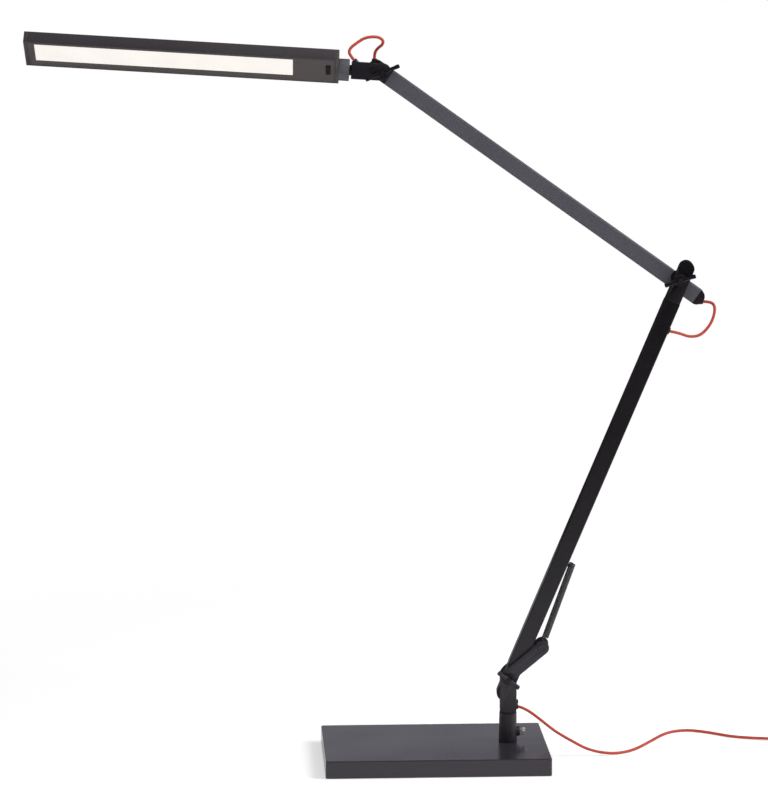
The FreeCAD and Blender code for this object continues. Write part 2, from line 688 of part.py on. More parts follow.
def make_upper_arm():
    low, high = "-rear_reach", "(upper_length - front_setback)"
    middle = "-elbow_offset"
    body = tube("upper_arm_tube", UPPER, low, high, middle)
    bolt_hole = sketch_on(body, "upper_bolt_hole", "XZ_Plane")
    circle(bolt_hole, "0", "rear_reach", BORE)
    hole = body.newObject("PartDesign::Pocket", "upper_bolt_pocket")
    hole.Profile = bolt_hole
    hole.Midplane = True
    bind(hole, Length="2 * tube_size")

    rear_boss = doc.addObject("Part::Cylinder", "rear_boss")
    bind(rear_boss, Radius="cord_boss_radius", Height=boss_length("rear_outlet_drop"))
    drop_x = f"{middle} - rear_outlet_drop * cos(upper_drop)"
    drop_z = "-rear_reach - rear_outlet_drop * sin(upper_drop)"
    bind(rear_boss, Placement=frame(drop_x, "0", drop_z, ("Y", "180 - upper_drop")))
    arm_fitting("upper_rear_cap", "tube_size", middle, low, low, "cap_plug", UPPER, None, [rear_boss])

    front_boss = doc.addObject("Part::Cylinder", "front_boss")
    bind(front_boss, Radius="cord_boss_radius", Height=boss_length("front_outlet_shift"))
    shift_x = f"{middle} - front_outlet_shift * sin(upper_drop)"
    shift_z = "upper_length + front_reach + front_outlet_shift * cos(upper_drop)"
    bind(front_boss, Placement=frame(shift_x, "0", shift_z, ("Y", "90 - upper_drop")))
    end = "(upper_length + front_reach)"
    arm_fitting(
        "upper_front_fitting", "tube_size", middle, high, end, "plug_length", UPPER, "upper_length",
        [front_boss], f"-{BOLT_STEP}",
    )

    cord_x = f"{middle} - tube_size / 2 + tube_wall + cord_diameter / 2 + fit_gap"
    cord_low = "(cap_plug - rear_reach + fit_gap)"
    cord_high = f"({high} - plug_length - fit_gap)"
    run = f"{cord_high} - {cord_low}"
    inner_cord = rod("upper_cord_rod", "cord_diameter / 2", (cord_x, "0", cord_low), run)
    node("upper_arm_cord", group("upper_cord_solid", inner_cord), UPPER)


def make_holder():
    round_radius = "holder_height / 2"
    pocket_high = "(-holder_reach + holder_wall + pocket_length)"
    screw = ("-holder_screw_inset", "0", "0")
    for label, low, high in (("holder_front", "-tube_size / 2", "0"), ("holder_rear", "0", "tube_size / 2")):
        deep = f"({high}) - ({low})"
        bar = box(label + "_bar", ("-holder_reach", "0"), (low, high), half("holder_height"))
        end = rod(label + "_end", round_radius, ("0", low, "0"), deep, "Y")
        hollow_x = ("-holder_reach + holder_wall", pocket_high)
        cavity = box(label + "_cavity", hollow_x, half("pocket_depth"), half("pocket_height"))
        face = ("-holder_reach", "0", "0")
        shaft_bore = rod(label + "_shaft_bore", "shaft_radius + run_gap", face, "holder_wall", "X")
        pivot_bore = rod(label + "_pivot_bore", BORE, ("0", low, "0"), deep, "Y")
        inlet = doc.addObject("Part::Cylinder", label + "_inlet")
        inlet.Angle = 180
        bind(inlet, Radius="cord_boss_radius", Height="inlet_length")
        facing = "180" if label == "holder_front" else "0"
        root = ("-inlet_inset", "0", "holder_height / 2 - cord_boss_radius * sin(inlet_lean)")
        bind(inlet, Placement=frame(*root, ("Y", "-inlet_lean"), ("Z", facing)))
        tools = [cavity, shaft_bore, pivot_bore]
        if label == "holder_front":
            through = rod("screw_hole_front", "holder_screw_radius", (screw[0], low, "0"), deep, "Y")
            mouth = (screw[0], low, "0")
            sink = rod("screw_sink", "holder_screw_head + fit_gap", mouth, "holder_screw_sink", "Y")
            tools += [through, sink]
        else:
            tools.append(rod("screw_hole_rear", "holder_screw_radius", screw, "holder_screw_bite", "Y"))
        node(label, cut(label + "_cut", fuse(label + "_solid", bar, end, inlet), *tools), HOLDER)

    seat = (screw[0], "-tube_size / 2 + holder_screw_sink", "0")
    head = rod("holder_screw_cap", "holder_screw_head", seat, "holder_screw_sink - face_gap", "-Y")
    shank_length = "tube_size / 2 - holder_screw_sink + holder_screw_bite"
    shank = rod("holder_screw_shank", "holder_screw_radius", seat, shank_length, "Y")
    node("holder_screw", fuse("holder_screw_solid", head, shank), HOLDER)


def make_roll_joint():
    inner = "(-holder_reach + holder_wall)"
    start = f"(-{HEAD_END} + fit_gap)"
    clip_x = f"({inner} + face_gap)"
    end = f"({clip_x} + clip_thickness + shaft_tail)"
    shaft = ring("roll_shaft_tube", "shaft_radius", "shaft_bore", (start, "0", "0"), f"{end} - {start}", "X")
    node("roll_shaft", shaft, HEAD)
    clip = ring("roll_clip_ring", "clip_radius", "shaft_radius", (clip_x, "0", "0"), "clip_thickness", "X")
    node("roll_clip", clip, HEAD)
    neck_start = ("-holder_reach - neck_length", "0", "0")
    neck_run = "neck_length - face_gap"
    neck = ring("roll_washer_ring", "neck_radius", "shaft_radius", neck_start, neck_run, "X")
    node("roll_washer", neck, HEAD)
    collar_start = (f"-{HEAD_END}", "0", "0")
    collar = ring("collar_ring", "collar_radius", "shaft_radius", collar_start, "collar_length", "X")
    node("roll_collar", collar, HEAD)


def shifted(width):
    """A width about the middle of the window."""
    return f"window_shift - ({width}) / 2", f"window_shift + ({width}) / 2"


def make_head():
    right = f"(-{HEAD_END})"
    left = f"({right} - head_length)"
    body_left = f"({left} + cap_plate)"
    body_right = f"({right} - cap_plate)"
    roof = f"({ROOF_Z} + head_wall)"
    inner_high = f"({ROOF_Z} - fit_gap)"
    inner_low = f"({BEZEL_Z} + fit_gap)"

    housing = doc.addObject("PartDesign::Body", "head_housing_body")
    section = sketch_on(housing, "housing_section", "YZ_Plane")
    wide, clear = half("head_width"), half("head_width - 2 * head_wall")
    outline(section, [
        (wide[0], FACE_Z), (clear[0], FACE_Z), (clear[0], ROOF_Z), (clear[1], ROOF_Z),
        (clear[1], FACE_Z), (wide[1], FACE_Z), (wide[1], roof), (wide[0], roof),
    ])
    pad(housing, section, f"{body_right} - {body_left}")
    top, side = number(roof), number("head_width / 2")
    soften(housing, "housing_edges", "head_edge", lambda edge: along(edge, Vector(1, 0, 0))
           and abs(edge.BoundBox.ZMax - top) < 1e-6 and abs(abs(edge.BoundBox.YMax) - side) < 1e-6)
    node("head_housing", housing, HEAD + " * " + frame(body_left))

    inner = half(INNER_WIDTH)
    for label, plate_x, tongue_x in (
        ("head_cap_left", (left, body_left), (body_left, f"{body_left} + cap_tongue")),
        ("head_cap_right", (body_right, right), (f"{body_right} - cap_tongue", body_right)),
    ):
        block = box(label + "_plate", plate_x, half("head_width"), (FACE_Z, roof))
        cap = rounded(label + "_rounded", block, "head_edge", lambda edge: along(edge, Vector(1, 0, 0))
                      and abs(edge.BoundBox.ZMax - top) < 1e-6)
        tongue = box(label + "_tongue", tongue_x, inner, (inner_low, inner_high))
        made = fuse(label + "_solid", cap, tongue)
        if label == "head_cap_right":
            wire_start = (f"{body_right} - cap_tongue", "0", "head_offset")
            wires = rod("cap_wire_hole", "shaft_bore", wire_start, "cap_tongue + 2 * cap_plate", "X")
            made = cut(label + "_cut", made, wires)
        node(label, made, HEAD)

    window_x = (f"{left} + window_inset", f"{left} + window_inset + window_length")
    button_x = f"({right} - button_inset)"
    key_x = (f"({button_x} - button_length / 2)", f"({button_x} + button_length / 2)")
    key_y = ("(button_shift - button_width / 2)", "(button_shift + button_width / 2)")
    hole_x, hole_y = [(f"{low} - button_play", f"{high} + button_play") for low, high in (key_x, key_y)]
    bezel_x = (f"{body_left} + fit_gap", f"{body_right} - fit_gap")
    plate(
        "head_bezel", HEAD + " * " + frame("0", "0", FACE_Z), bezel_x, inner, "bezel_thickness",
        [(window_x, shifted("window_width")), (hole_x, hole_y)],
    )

    pane_x = (f"{window_x[0]} + fit_gap", f"{window_x[1]} - fit_gap")
    pane_z = (f"{BEZEL_Z} - diffuser_thickness", BEZEL_Z)
    pane = box("diffuser_pane", pane_x, shifted("window_width - 2 * fit_gap"), pane_z)
    lip_x = (f"{window_x[0]} - diffuser_lip", f"{window_x[1]} + diffuser_lip")
    lip_z = (BEZEL_Z, f"{BEZEL_Z} + diffuser_thickness")
    lip = box("diffuser_rim", lip_x, shifted("window_width + 2 * diffuser_lip"), lip_z)
    node("diffuser", fuse("diffuser_solid", pane, lip), HEAD)

    board_z = f"({ROOF_Z} - led_board_thickness)"
    board = box("led_board_box", window_x, shifted("led_board_width"), (board_z, ROOF_Z))
    node("led_board", group("led_board_solid", board), HEAD)
    count = int(number("window_length / led_pitch"))
    chips = []
    chip_z = (f"{board_z} - led_height", board_z)
    for index in range(count):
        place = index - (count - 1) / 2
        chip_x = f"{window_x[0]} + window_length / 2 + led_pitch * {place} - led_length / 2"
        ends = (chip_x, f"{chip_x} + led_length")
        chips.append(box(f"led_{index + 1}", ends, shifted("led_width"), chip_z))
    node("led_chips", group("led_row", *chips), HEAD)

    driver_high = f"({body_right} - cap_tongue - fit_gap)"
    driver_z = f"({ROOF_Z} - driver_thickness)"
    driver_x = (f"{driver_high} - driver_length", driver_high)
    driver = box("driver_box", driver_x, half("driver_width"), (driver_z, ROOF_Z))
    node("driver_board", group("driver_solid", driver), HEAD)
    switch_x = (f"{button_x} - switch_size / 2", f"{button_x} + switch_size / 2")
    switch_y = ("button_shift - switch_size / 2", "button_shift + switch_size / 2")
    switch_z = f"({driver_z} - switch_height)"
    switch = box("switch_box", switch_x, switch_y, (switch_z, driver_z))
    node("dim_switch", group("switch_solid", switch), HEAD)

    rim_z = f"({BEZEL_Z} + face_gap)"
    stem_z = f"({rim_z} + button_lip_height)"
    key = box("button_key", key_x, key_y, (f"{FACE_Z} - button_proud", rim_z))
    rim_x, rim_y = [(f"{low} - button_lip", f"{high} + button_lip") for low, high in (key_x, key_y)]
    rim = box("button_rim", rim_x, rim_y, (rim_z, stem_z))
    stem_run = f"{switch_z} - button_travel - fit_gap - {stem_z}"
    stem = rod("button_pin", "button_stem", (button_x, "button_shift", stem_z), stem_run)
    node("switch_button", fuse("button_solid", key, rim, stem), HEAD)


def unit(vector):
    return vector / vector.Length


def biarc(start, start_way, end, end_way):
    """Two arcs that leave one point and reach another along the given directions."""
    span = end - start
    ways = start_way + end_way
    spread = 2 * (1 - start_way.dot(end_way))
    reach = span.dot(ways)
    if spread < 1e-9:
        leg = span.dot(span) / (2 * reach)
    else:
        leg = (-reach + math.sqrt(reach * reach + spread * span.dot(span))) / spread
    corners = start + start_way * leg, end - end_way * leg
    middle = (corners[0] + corners[1]) / 2
    return [arc_or_line(start, corners[0], middle), arc_or_line(middle, corners[1], end)]


def arc_or_line(start, corner, end):
    """The arc that touches both legs of an even corner."""
    middle = (start + end) / 2
    height = (corner - middle).Length
    chord = (end - start).Length / 2
    if height < 1e-7:
        return Part.LineSegment(start, end).toShape()
    rise = chord * math.tan(math.atan2(height, chord) / 2)
    return Part.Arc(start, middle + (corner - middle) * (rise / height), end).toShape()


def swept(label, edges, diameter, place=None):
    """One unbroken round tube along the edges, checked against its section times its length."""
    path = Part.Wire(edges)
    first = edges[0]
    start = first.valueAt(first.FirstParameter)
    way = first.tangentAt(first.FirstParameter)
    section = Part.Wire([Part.makeCircle(diameter / 2, start, way)])
    solid = path.makePipeShell([section], True, False)
    expected = math.pi * diameter**2 / 4 * path.Length
    print(f"{label}: length {path.Length:.1f}, volume {solid.Volume:.1f} of {expected:.1f}")
    made = doc.addObject("Part::Feature", label)
    made.Shape = solid
    node(label, made, place)
    return path.Length


def routed(label, stations, place=None, share=0.45):
    """A cord's tube along straight runs and the largest arcs that they allow."""
    edges, radii, last = [], [], stations[0]
    for before, corner, after in zip(stations, stations[1:], stations[2:]):
        come, go = unit(corner - before), unit(after - corner)
        trim = share * min((corner - before).Length, (after - corner).Length)
        start, end = corner - come * trim, corner + go * trim
        radii.append(trim / math.tan(come.getAngle(go) / 2))
        edges.append(Part.LineSegment(last, start).toShape())
        edges.append(arc_or_line(start, corner, end))
        last = end
    edges.append(Part.LineSegment(last, stations[-1]).toShape())
    print(f"{label}: radii", " ".join(f"{radius:.1f}" for radius in radii))
    return swept(label, edges, number("cord_diameter"), place)


def least_gap(points, skip, diameter):
    """The least clear distance between stretches of a tube that aren't neighbours."""
    least = math.inf
    for index, point in enumerate(points):
        for other in points[index + skip:]:
            least = min(least, point.distanceToPoint(other))
    return least - diameter


def stations_to_edges(stations):
    edges = []
    for (start, start_way), (end, end_way) in zip(stations, stations[1:]):
        edges += biarc(start, start_way, end, end_way)
    return edges


def make_spring():
    """An extension spring from the lever pin to the arm's stud, with a loop at each end."""
    lean = math.radians(number("lower_lean"))
    up = Vector(math.sin(lean), 0, math.cos(lean))
    out = Vector(math.cos(lean), 0, -math.sin(lean))
    deep = Vector(0, 1, 0)
    pivot = Vector(number(POST_X), 0, number(PIVOT_Z))
    pin = Vector(number(PIN_X), 0, number(PIN_Z))
    stud = pivot + up * number("stud_distance") + out * number("lower_offset + tube_size / 2 + hook_stand")
    axis = unit(stud - pin)
    side = unit(axis.cross(deep))
    wire, radius = number("spring_wire"), number("spring_radius")
    low_loop = number("lever_pin_radius + loop_slack + spring_wire / 2")
    high_loop = number("stud_radius + loop_slack + spring_wire / 2")
    start = pin + axis * number("spring_low_tail")
    length = (stud - pin).Length - number("spring_low_tail + spring_high_tail")
    turns = int(number("spring_turns"))
    pitch = length / turns
    rise = axis * (pitch / (2 * math.pi))

    stations = []
    for angle in (-90, 0, 90, 180, 250):
        turn = math.radians(angle)
        place = pin + (side * math.cos(turn) - axis * math.sin(turn)) * low_loop
        stations.append((place, unit(side * -math.sin(turn) - axis * math.cos(turn))))
    stations.reverse()
    stations = [(place, way * -1) for place, way in stations]
    coil = []
    for index in range(2 * turns + 1):
        turn = math.pi * index
        place = start + axis * (length * index / (2 * turns))
        place += (side * math.cos(turn) + deep * math.sin(turn)) * radius
        way = unit((deep * math.cos(turn) - side * math.sin(turn)) * radius + rise)
        coil.append((place, way))
    stations += coil
    for angle in (-70, 0, 90, 180, 270):
        turn = math.radians(angle)
        place = stud + (deep * math.cos(turn) + axis * math.sin(turn)) * high_loop
        stations.append((place, unit(axis * math.cos(turn) - deep * math.sin(turn))))
    swept("balance_spring", stations_to_edges(stations), wire, SWIVEL)
    points = []
    steps = 12
    for index in range(steps * turns + 1):
        turn = 2 * math.pi * index / steps
        place = start + axis * (length * index / (steps * turns))
        points.append(place + (side * math.cos(turn) + deep * math.sin(turn)) * radius)
    print(f"balance_spring: least gap {least_gap(points, steps // 2, wire):.2f}")


def coil_place(turned):
    """Where the coil's middle line is after so many turns, in and out again through four layers."""
    layers, step = 4, number("coil_step")
    turns = number("coil_turns")
    centre = Vector(number("coil_x"), number("coil_y"), 0)
    inner, height, left = 0.0, number("coil_base"), turned
    way = 1
    for layer in range(layers):
        spent = min(left, turns)
        inner += way * spent
        left -= spent
        if left <= 0 or layer == layers - 1:
            break
        spent = min(left, 0.5)
        inner += way * (spent if spent < 0.25 else 0.5 - spent)
        height += step * (1 - math.cos(2 * math.pi * spent)) / 2
        left -= spent
        way = -way
    angle = math.radians(number("coil_start")) + 2 * math.pi * turned
    radius = number("coil_radius") - step * inner
    return centre + Vector(radius * math.cos(angle), radius * math.sin(angle), height)


def coil_way(turned):
    small = 1e-4
    return unit(coil_place(turned + small) - coil_place(max(0, turned - small)))


def spot(place, x, y, z):
    """A point of a frame, by formulas, with its formula's value now."""
    return sheet.evalExpression(expression(f"{place} * create(<<vector>>; {x}; {y}; {z})"))


# Cord routes, chosen by hand. The loops are (x, y, z) from the pivot that they pass, with y as a share of the
# way back to the upper arm; the supply lead is (x from the post, y, share of the outlet's height).
HEAD_LOOP = [
    (-27.23, 0.006, 13.22),
    (-29.49, 0.105, 16.76),
    (-28.49, 0.174, 20.56),
    (-23.09, 0.291, 24.76),
    (-15.29, 0.442, 29.76),
    (-5.29, 0.605, 30.36),
    (0.11, 0.692, 27.76),
    (0.21, 0.767, 23.36),
    (-4.89, 0.866, 19.76),
    (-7.39, 0.988, 15.36),
]
ELBOW_LOOP = [
    (28.88, 0.977, -21.99),
    (34.48, 0.849, -25.59),
    (33.68, 0.709, -33.59),
    (29.08, 0.57, -42.39),
    (20.08, 0.401, -50.99),
    (8.88, 0.25, -51.99),
    (-0.62, 0.029, -48.99),
]
SUPPLY_ROUTE = [
    (15.9, -0.97, 0.996),
    (28.5, -0.4, 0.818),
    (42.0, 0.8, 0.51),
    (56.0, 2.4, 0.263),
    (74.0, 4.0, 0.055),
    (95.0, 4.5, 0.0),
    (115.0, 15.5, 0.0),
    (134.0, 46.0, 0.0),
    (154.0, 80.0, 0.0),
    (174.0, 91.0, 0.0),
    (194.0, 78.0, 0.0),
    (216.0, 62.0, 0.0),
]


def loop_route(start, offsets, pivot_x, pivot_z, end):
    behind = number(UPPER_Y)
    x, z = number(pivot_x), number(pivot_z)
    return [start] + [Vector(x + across, share * behind, z + up) for across, share, up in offsets] + [end]


def make_cords():
    boss = "(inlet_length + fit_gap)"
    root_z = "holder_height / 2 - cord_boss_radius * sin(inlet_lean)"
    inlet = spot(
        HOLDER_ON_SWIVEL,
        f"-inlet_inset - {boss} * sin(inlet_lean)", "0",
        f"{root_z} + {boss} * cos(inlet_lean)",
    )
    front_boss = f"({boss_length('front_outlet_shift')} + fit_gap)"
    front = spot(
        UPPER_ON_SWIVEL,
        f"-elbow_offset - front_outlet_shift * sin(upper_drop) + {front_boss} * cos(upper_drop)", "0",
        f"upper_length + front_reach + front_outlet_shift * cos(upper_drop) + {front_boss} * sin(upper_drop)",
    )
    routed("head_loop_cord", loop_route(inlet, HEAD_LOOP, HEAD_X, HEAD_Z, front), SWIVEL)

    rear_boss = f"({boss_length('rear_outlet_drop')} + fit_gap)"
    rear = spot(
        UPPER_ON_SWIVEL,
        f"-elbow_offset - rear_outlet_drop * cos(upper_drop) + {rear_boss} * sin(upper_drop)", "0",
        f"-rear_reach - rear_outlet_drop * sin(upper_drop) - {rear_boss} * cos(upper_drop)",
    )
    entry_x = "lower_offset + tube_size / 2 + entry_height + fit_gap"
    entry = spot(LOWER_ON_SWIVEL, entry_x, "0", "lower_length - entry_setback")
    routed("elbow_loop_cord", loop_route(rear, ELBOW_LOOP, ELBOW_X, ELBOW_Z, entry), SWIVEL)

    outlet_z = f"({BRACKET_Z} + outlet_rise)"
    outlet = spot(SWIVEL, f"{POST_X} + bracket_width / 2 + outlet_reach + fit_gap", "0", outlet_z)
    post, low = number(POST_X), number("cord_diameter / 2 + face_gap")
    lift = number(outlet_z) - low
    lead = [Vector(post + across, deep, low + share * lift) for across, deep, share in SUPPLY_ROUTE]
    start, way = coil_place(0), coil_way(0)
    way = unit(Vector(way.x, way.y, 0))
    total = routed("supply_cord", [outlet] + lead + [start - way * number("coil_run"), start])

    turned = number("4 * coil_turns") + 1.5
    quarters = math.ceil(turned * 4)
    marks = [turned * index / quarters for index in range(quarters + 1)]
    stations = [(coil_place(mark), coil_way(mark)) for mark in marks]
    stations[0] = (start, way)
    edges = stations_to_edges(stations[:-1])
    end = Vector(number(ADAPTER_X), number("coil_y"), number(COIL_TOP))
    down = Vector(0, -1, 0)
    edges += biarc(*stations[-2], end, down)
    edges.append(Part.LineSegment(end, end + down * number("coil_lead")).toShape())
    diameter = number("cord_diameter")
    total += swept("supply_coil", edges, diameter)
    samples = 24
    points = [coil_place(turned * index / (samples * 12)) for index in range(samples * 12 + 1)]
    print(f"supply_coil: least gap {least_gap(points, samples // 2, diameter):.2f}")
    print(f"supply cord in all {total:.0f}")


def make_tie_and_adapter():
    inner_low = "(coil_radius - coil_step * (coil_turns + 0.25) - cord_diameter / 2 - tie_slack)"
    inner_high = "(coil_radius + coil_step * 0.25 + cord_diameter / 2 + tie_slack)"
    low = "(coil_base - cord_diameter / 2 - tie_slack)"
    high = f"({COIL_TOP} + cord_diameter / 2 + tie_slack)"
    band = box(
        "tie_band", (f"{inner_low} - tie_thickness", f"{inner_high} + tie_thickness"), half("tie_width"),
        (f"{low} - tie_thickness", f"{high} + tie_thickness"),
    )
    opening = box("tie_opening", (inner_low, inner_high), half("2 * tie_width"), (low, high))
    lock = box(
        "tie_lock", (f"{inner_high} + tie_thickness", f"{inner_high} + tie_thickness + tie_head"),
        half("tie_width + tie_thickness"), (f"{high} - tie_head", high),
    )
    place = frame("coil_x", "coil_y", "0", ("Z", "tie_angle"))
    node("cord_tie", fuse("tie_solid", cut("tie_loop", band, opening), lock), place)

    wide = (f"{ADAPTER_X} - adapter_width / 2", f"{ADAPTER_X} + adapter_width / 2")
    back = f"({ADAPTER_Y} - adapter_length + face_plate)"
    tall = ("0", "adapter_height")
    block = box("adapter_block", wide, (back, ADAPTER_Y), tall)
    hollow = box(
        "adapter_hollow", (f"{wide[0]} + adapter_wall", f"{wide[1]} - adapter_wall"),
        (back, f"{ADAPTER_Y} - adapter_wall"), ("adapter_wall", "adapter_height - adapter_wall"),
    )
    shell = rounded("adapter_rounded", block, "adapter_edge", lambda edge: along(edge, Vector(0, 1, 0)))
    node("adapter_body", cut("adapter_cut", shell, hollow))
    pins = [
        rod(f"plug_pin_{side}", "plug_pin_radius", (f"{ADAPTER_X} {shift}", f"{back} - face_plate", COIL_TOP),
            "plug_pin_length", "-Y")
        for side, shift in (("left", "- plug_pin_spacing / 2"), ("right", "+ plug_pin_spacing / 2"))
    ]
    face = box("face_block", wide, (f"{back} - face_plate", back), tall)
    lid = rounded("face_rounded", face, "adapter_edge", lambda edge: along(edge, Vector(0, 1, 0)))
    node("adapter_face", lid)
    node("adapter_pins", group("plug_pins", *pins))
    relief_start = (ADAPTER_X, RELIEF_Y, COIL_TOP)
    relief = cone("relief_cone", "relief_tip", "relief_root", relief_start, "relief_length", "-Y")
    node("adapter_relief", relief)


def export():
    doc.recompute()
    for item in doc.Objects:
        bad = {"Invalid", "Error"} & set(item.State)
        if bad:
            raise RuntimeError(f"{item.Name} ({item.Label}) is {bad}")
    os.makedirs("parts", exist_ok=True)
    for item in nodes:
        shape = item.Shape
        if shape.isNull() or not shape.isValid() or not shape.Solids:
            raise RuntimeError(f"{item.Label} has no sound solid")
    for item in nodes:
        item.Shape.exportStep(f"parts/{item.Label}.step")
    print(f"{len(nodes)} nodes written")


make_base()
make_post()
make_bracket()
make_pivots()
make_lower_arm()
make_upper_arm()
make_holder()
make_roll_joint()
make_head()
make_spring()
make_cords()
make_tie_and_adapter()
export()
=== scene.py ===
import json
import math

import bpy
from mathutils import Matrix, Vector


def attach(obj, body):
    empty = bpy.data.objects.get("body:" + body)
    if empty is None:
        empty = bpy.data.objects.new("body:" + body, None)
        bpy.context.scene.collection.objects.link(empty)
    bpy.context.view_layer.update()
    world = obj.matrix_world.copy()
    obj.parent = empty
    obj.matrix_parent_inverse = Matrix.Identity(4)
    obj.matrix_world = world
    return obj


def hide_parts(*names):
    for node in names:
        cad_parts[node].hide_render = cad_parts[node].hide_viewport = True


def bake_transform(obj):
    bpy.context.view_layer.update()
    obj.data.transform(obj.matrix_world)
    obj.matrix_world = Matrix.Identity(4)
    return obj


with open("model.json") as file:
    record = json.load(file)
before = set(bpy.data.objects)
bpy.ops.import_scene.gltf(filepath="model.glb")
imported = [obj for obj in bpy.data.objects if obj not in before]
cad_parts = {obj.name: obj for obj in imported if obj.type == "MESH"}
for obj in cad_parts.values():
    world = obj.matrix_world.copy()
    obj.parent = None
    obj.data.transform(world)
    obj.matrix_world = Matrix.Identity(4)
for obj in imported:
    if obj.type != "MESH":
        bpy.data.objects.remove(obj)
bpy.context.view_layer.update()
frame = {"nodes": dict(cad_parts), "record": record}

cadNodes = frame["nodes"]
mm = 0.001
print("frame loaded,", len(cadNodes), "nodes")

cameraView = {
    "target": (-45.47, 0.0, 325.37),  # mm
    "azimuth": -2.818,
    "elevation": 8.859,
    "distance": 3006.1,
    "lens": 152.24,
    "sensor": 36.0,
    "farClip": 20.0,       # metres
}


def addCamera():
    turn = math.radians(cameraView["azimuth"])
    rise = math.radians(cameraView["elevation"])
    away = Vector((math.sin(turn) * math.cos(rise), -math.cos(turn) * math.cos(rise), math.sin(rise)))
    place = (Vector(cameraView["target"]) + away * cameraView["distance"]) * mm
    bpy.ops.object.camera_add(location=place, rotation=(math.pi / 2 - rise, 0, turn))
    camera = bpy.context.object
    camera.data.lens = cameraView["lens"]
    camera.data.sensor_fit = "VERTICAL"
    camera.data.sensor_height = cameraView["sensor"]
    camera.data.clip_end = cameraView["farClip"]
    bpy.context.scene.camera = camera


bpy.ops.object.select_all(action="DESELECT")
addCamera()
print("camera placed")

# the arms are turned a little on the post, so their points are given in the swivel's own frame
swivel = {"postX": 66.0, "yaw": -3.5}
postPlace = Vector((swivel["postX"] * mm, 0, 0))
swivelPlace = (
    Matrix.Translation(postPlace)
    @ Matrix.Rotation(math.radians(swivel["yaw"]), 4, "Z")
    @ Matrix.Translation(-postPlace)
)


def onSwivel(points):
    return [swivelPlace @ (Vector(point) * mm) for point in points]


def onlySelect(*pieces):
    bpy.ops.object.select_all(action="DESELECT")
    for piece in pieces:
        piece.select_set(True)
    bpy.context.view_layer.objects.active = pieces[0]


def applyModifiers(piece):
    onlySelect(piece)
    for modifier in list(piece.modifiers):
        bpy.ops.object.modifier_apply(modifier=modifier.name)


# pieces that keep their solid's shape and get softened edges, in mm
softEdge = {
    "post": 0.5, "swivel_bracket": 0.45, "lower_foot_fitting": 0.4, "lower_top_fitting": 0.4,
    "upper_rear_cap": 0.4, "upper_front_fitting": 0.4, "holder_front": 0.45, "holder_rear": 0.45,
    "elbow_disc": 0.35, "head_disc": 0.35, "roll_collar": 0.4, "roll_washer": 0.2, "cord_grommet": 0.3,
    "lower_arm_grommet": 0.25, "lever_pin": 0.2, "pivot_bolt": 0.2, "elbow_bolt": 0.2, "head_bolt": 0.2,
    "pivot_washers": 0.15, "pivot_nut_washer": 0.15,
    "elbow_nut_washer": 0.15, "head_nut_washer": 0.15, "holder_screw": 0.2, "head_housing": 0.3,
    "head_cap_left": 0.3, "head_cap_right": 0.3, "head_bezel": 0.35, "switch_button": 0.2, "cord_tie": 0.25,
    "adapter_body": 0.5, "adapter_face": 0.4, "adapter_relief": 0.3,
}
softening = {
    "merge": 1e-6,         # metres, doubles of the solid's loose triangles
    "flatUnder": 0.5,      # degrees, facets taken as one flat face
    "bevelOver": 40,
    "segments": 3,
    "smoothUnder": 35,
    "endFace": 0.05,       # mm, faces this near the end belong to it
    "facing": 0.99,        # cosine, faces that look along an axis
}
endRecess = {"lever_pin": (1.3, 0.5), "holder_screw": (1.0, 0.6)}   # rim left standing and depth, in mm
bodyOf = {node: body for body, nodes in frame["record"]["behaviour"]["bodies"].items() for node in nodes}


def selectFaces(piece, chosen):
    bpy.ops.object.mode_set(mode="EDIT")
    bpy.ops.mesh.select_mode(type="FACE")
    bpy.ops.mesh.select_all(action="DESELECT")
    bpy.ops.object.mode_set(mode="OBJECT")
    for face in piece.data.polygons:
        face.select = chosen(face)
    bpy.ops.object.mode_set(mode="EDIT")


def softenNode(node):
    first, *others = node.split("_")
    name = first + "".join(word.title() for word in others)
    piece = bpy.data.objects.new(name, cadNodes[node].data.copy())
    bpy.context.collection.objects.link(piece)
    onlySelect(piece)
    bpy.ops.object.mode_set(mode="EDIT")
    bpy.ops.mesh.select_all(action="SELECT")
    bpy.ops.mesh.remove_doubles(threshold=softening["merge"])
    bpy.ops.mesh.dissolve_limited(angle_limit=math.radians(softening["flatUnder"]))
    bpy.ops.object.mode_set(mode="OBJECT")
    if node in endRecess:
        recessEnds(piece, *endRecess[node])
    rounding = piece.modifiers.new("rounding", "BEVEL")
    rounding.width = softEdge[node] * mm
    rounding.segments = softening["segments"]
    rounding.limit_method = "ANGLE"
    rounding.angle_limit = math.radians(softening["bevelOver"])
    rounding.use_clamp_overlap = False
    applyModifiers(piece)
    bpy.ops.object.shade_smooth_by_angle(angle=math.radians(softening["smoothUnder"]))
    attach(piece, bodyOf[node])
    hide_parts(node)
    return piece


def recessEnds(piece, rim, depth):
    axis = (swivelPlace.to_3x3() @ Vector((0, 1, 0))).normalized()
    for way in (axis, -axis):
        reach = max(face.center.dot(way) for face in piece.data.polygons) - softening["endFace"] * mm
        facing = softening["facing"]
        selectFaces(piece, lambda face: face.normal.dot(way) > facing and face.center.dot(way) > reach)
        bpy.ops.mesh.dissolve_faces()
        bpy.ops.mesh.inset(thickness=rim * mm)
        bpy.ops.mesh.extrude_region_move()
        bpy.ops.transform.translate(value=-way * depth * mm)
        bpy.ops.object.mode_set(mode="OBJECT")


softPieces = {node: softenNode(node) for node in softEdge}
print("edges softened on", len(softPieces), "pieces")

tubeSmoothUnder = 50       # degrees


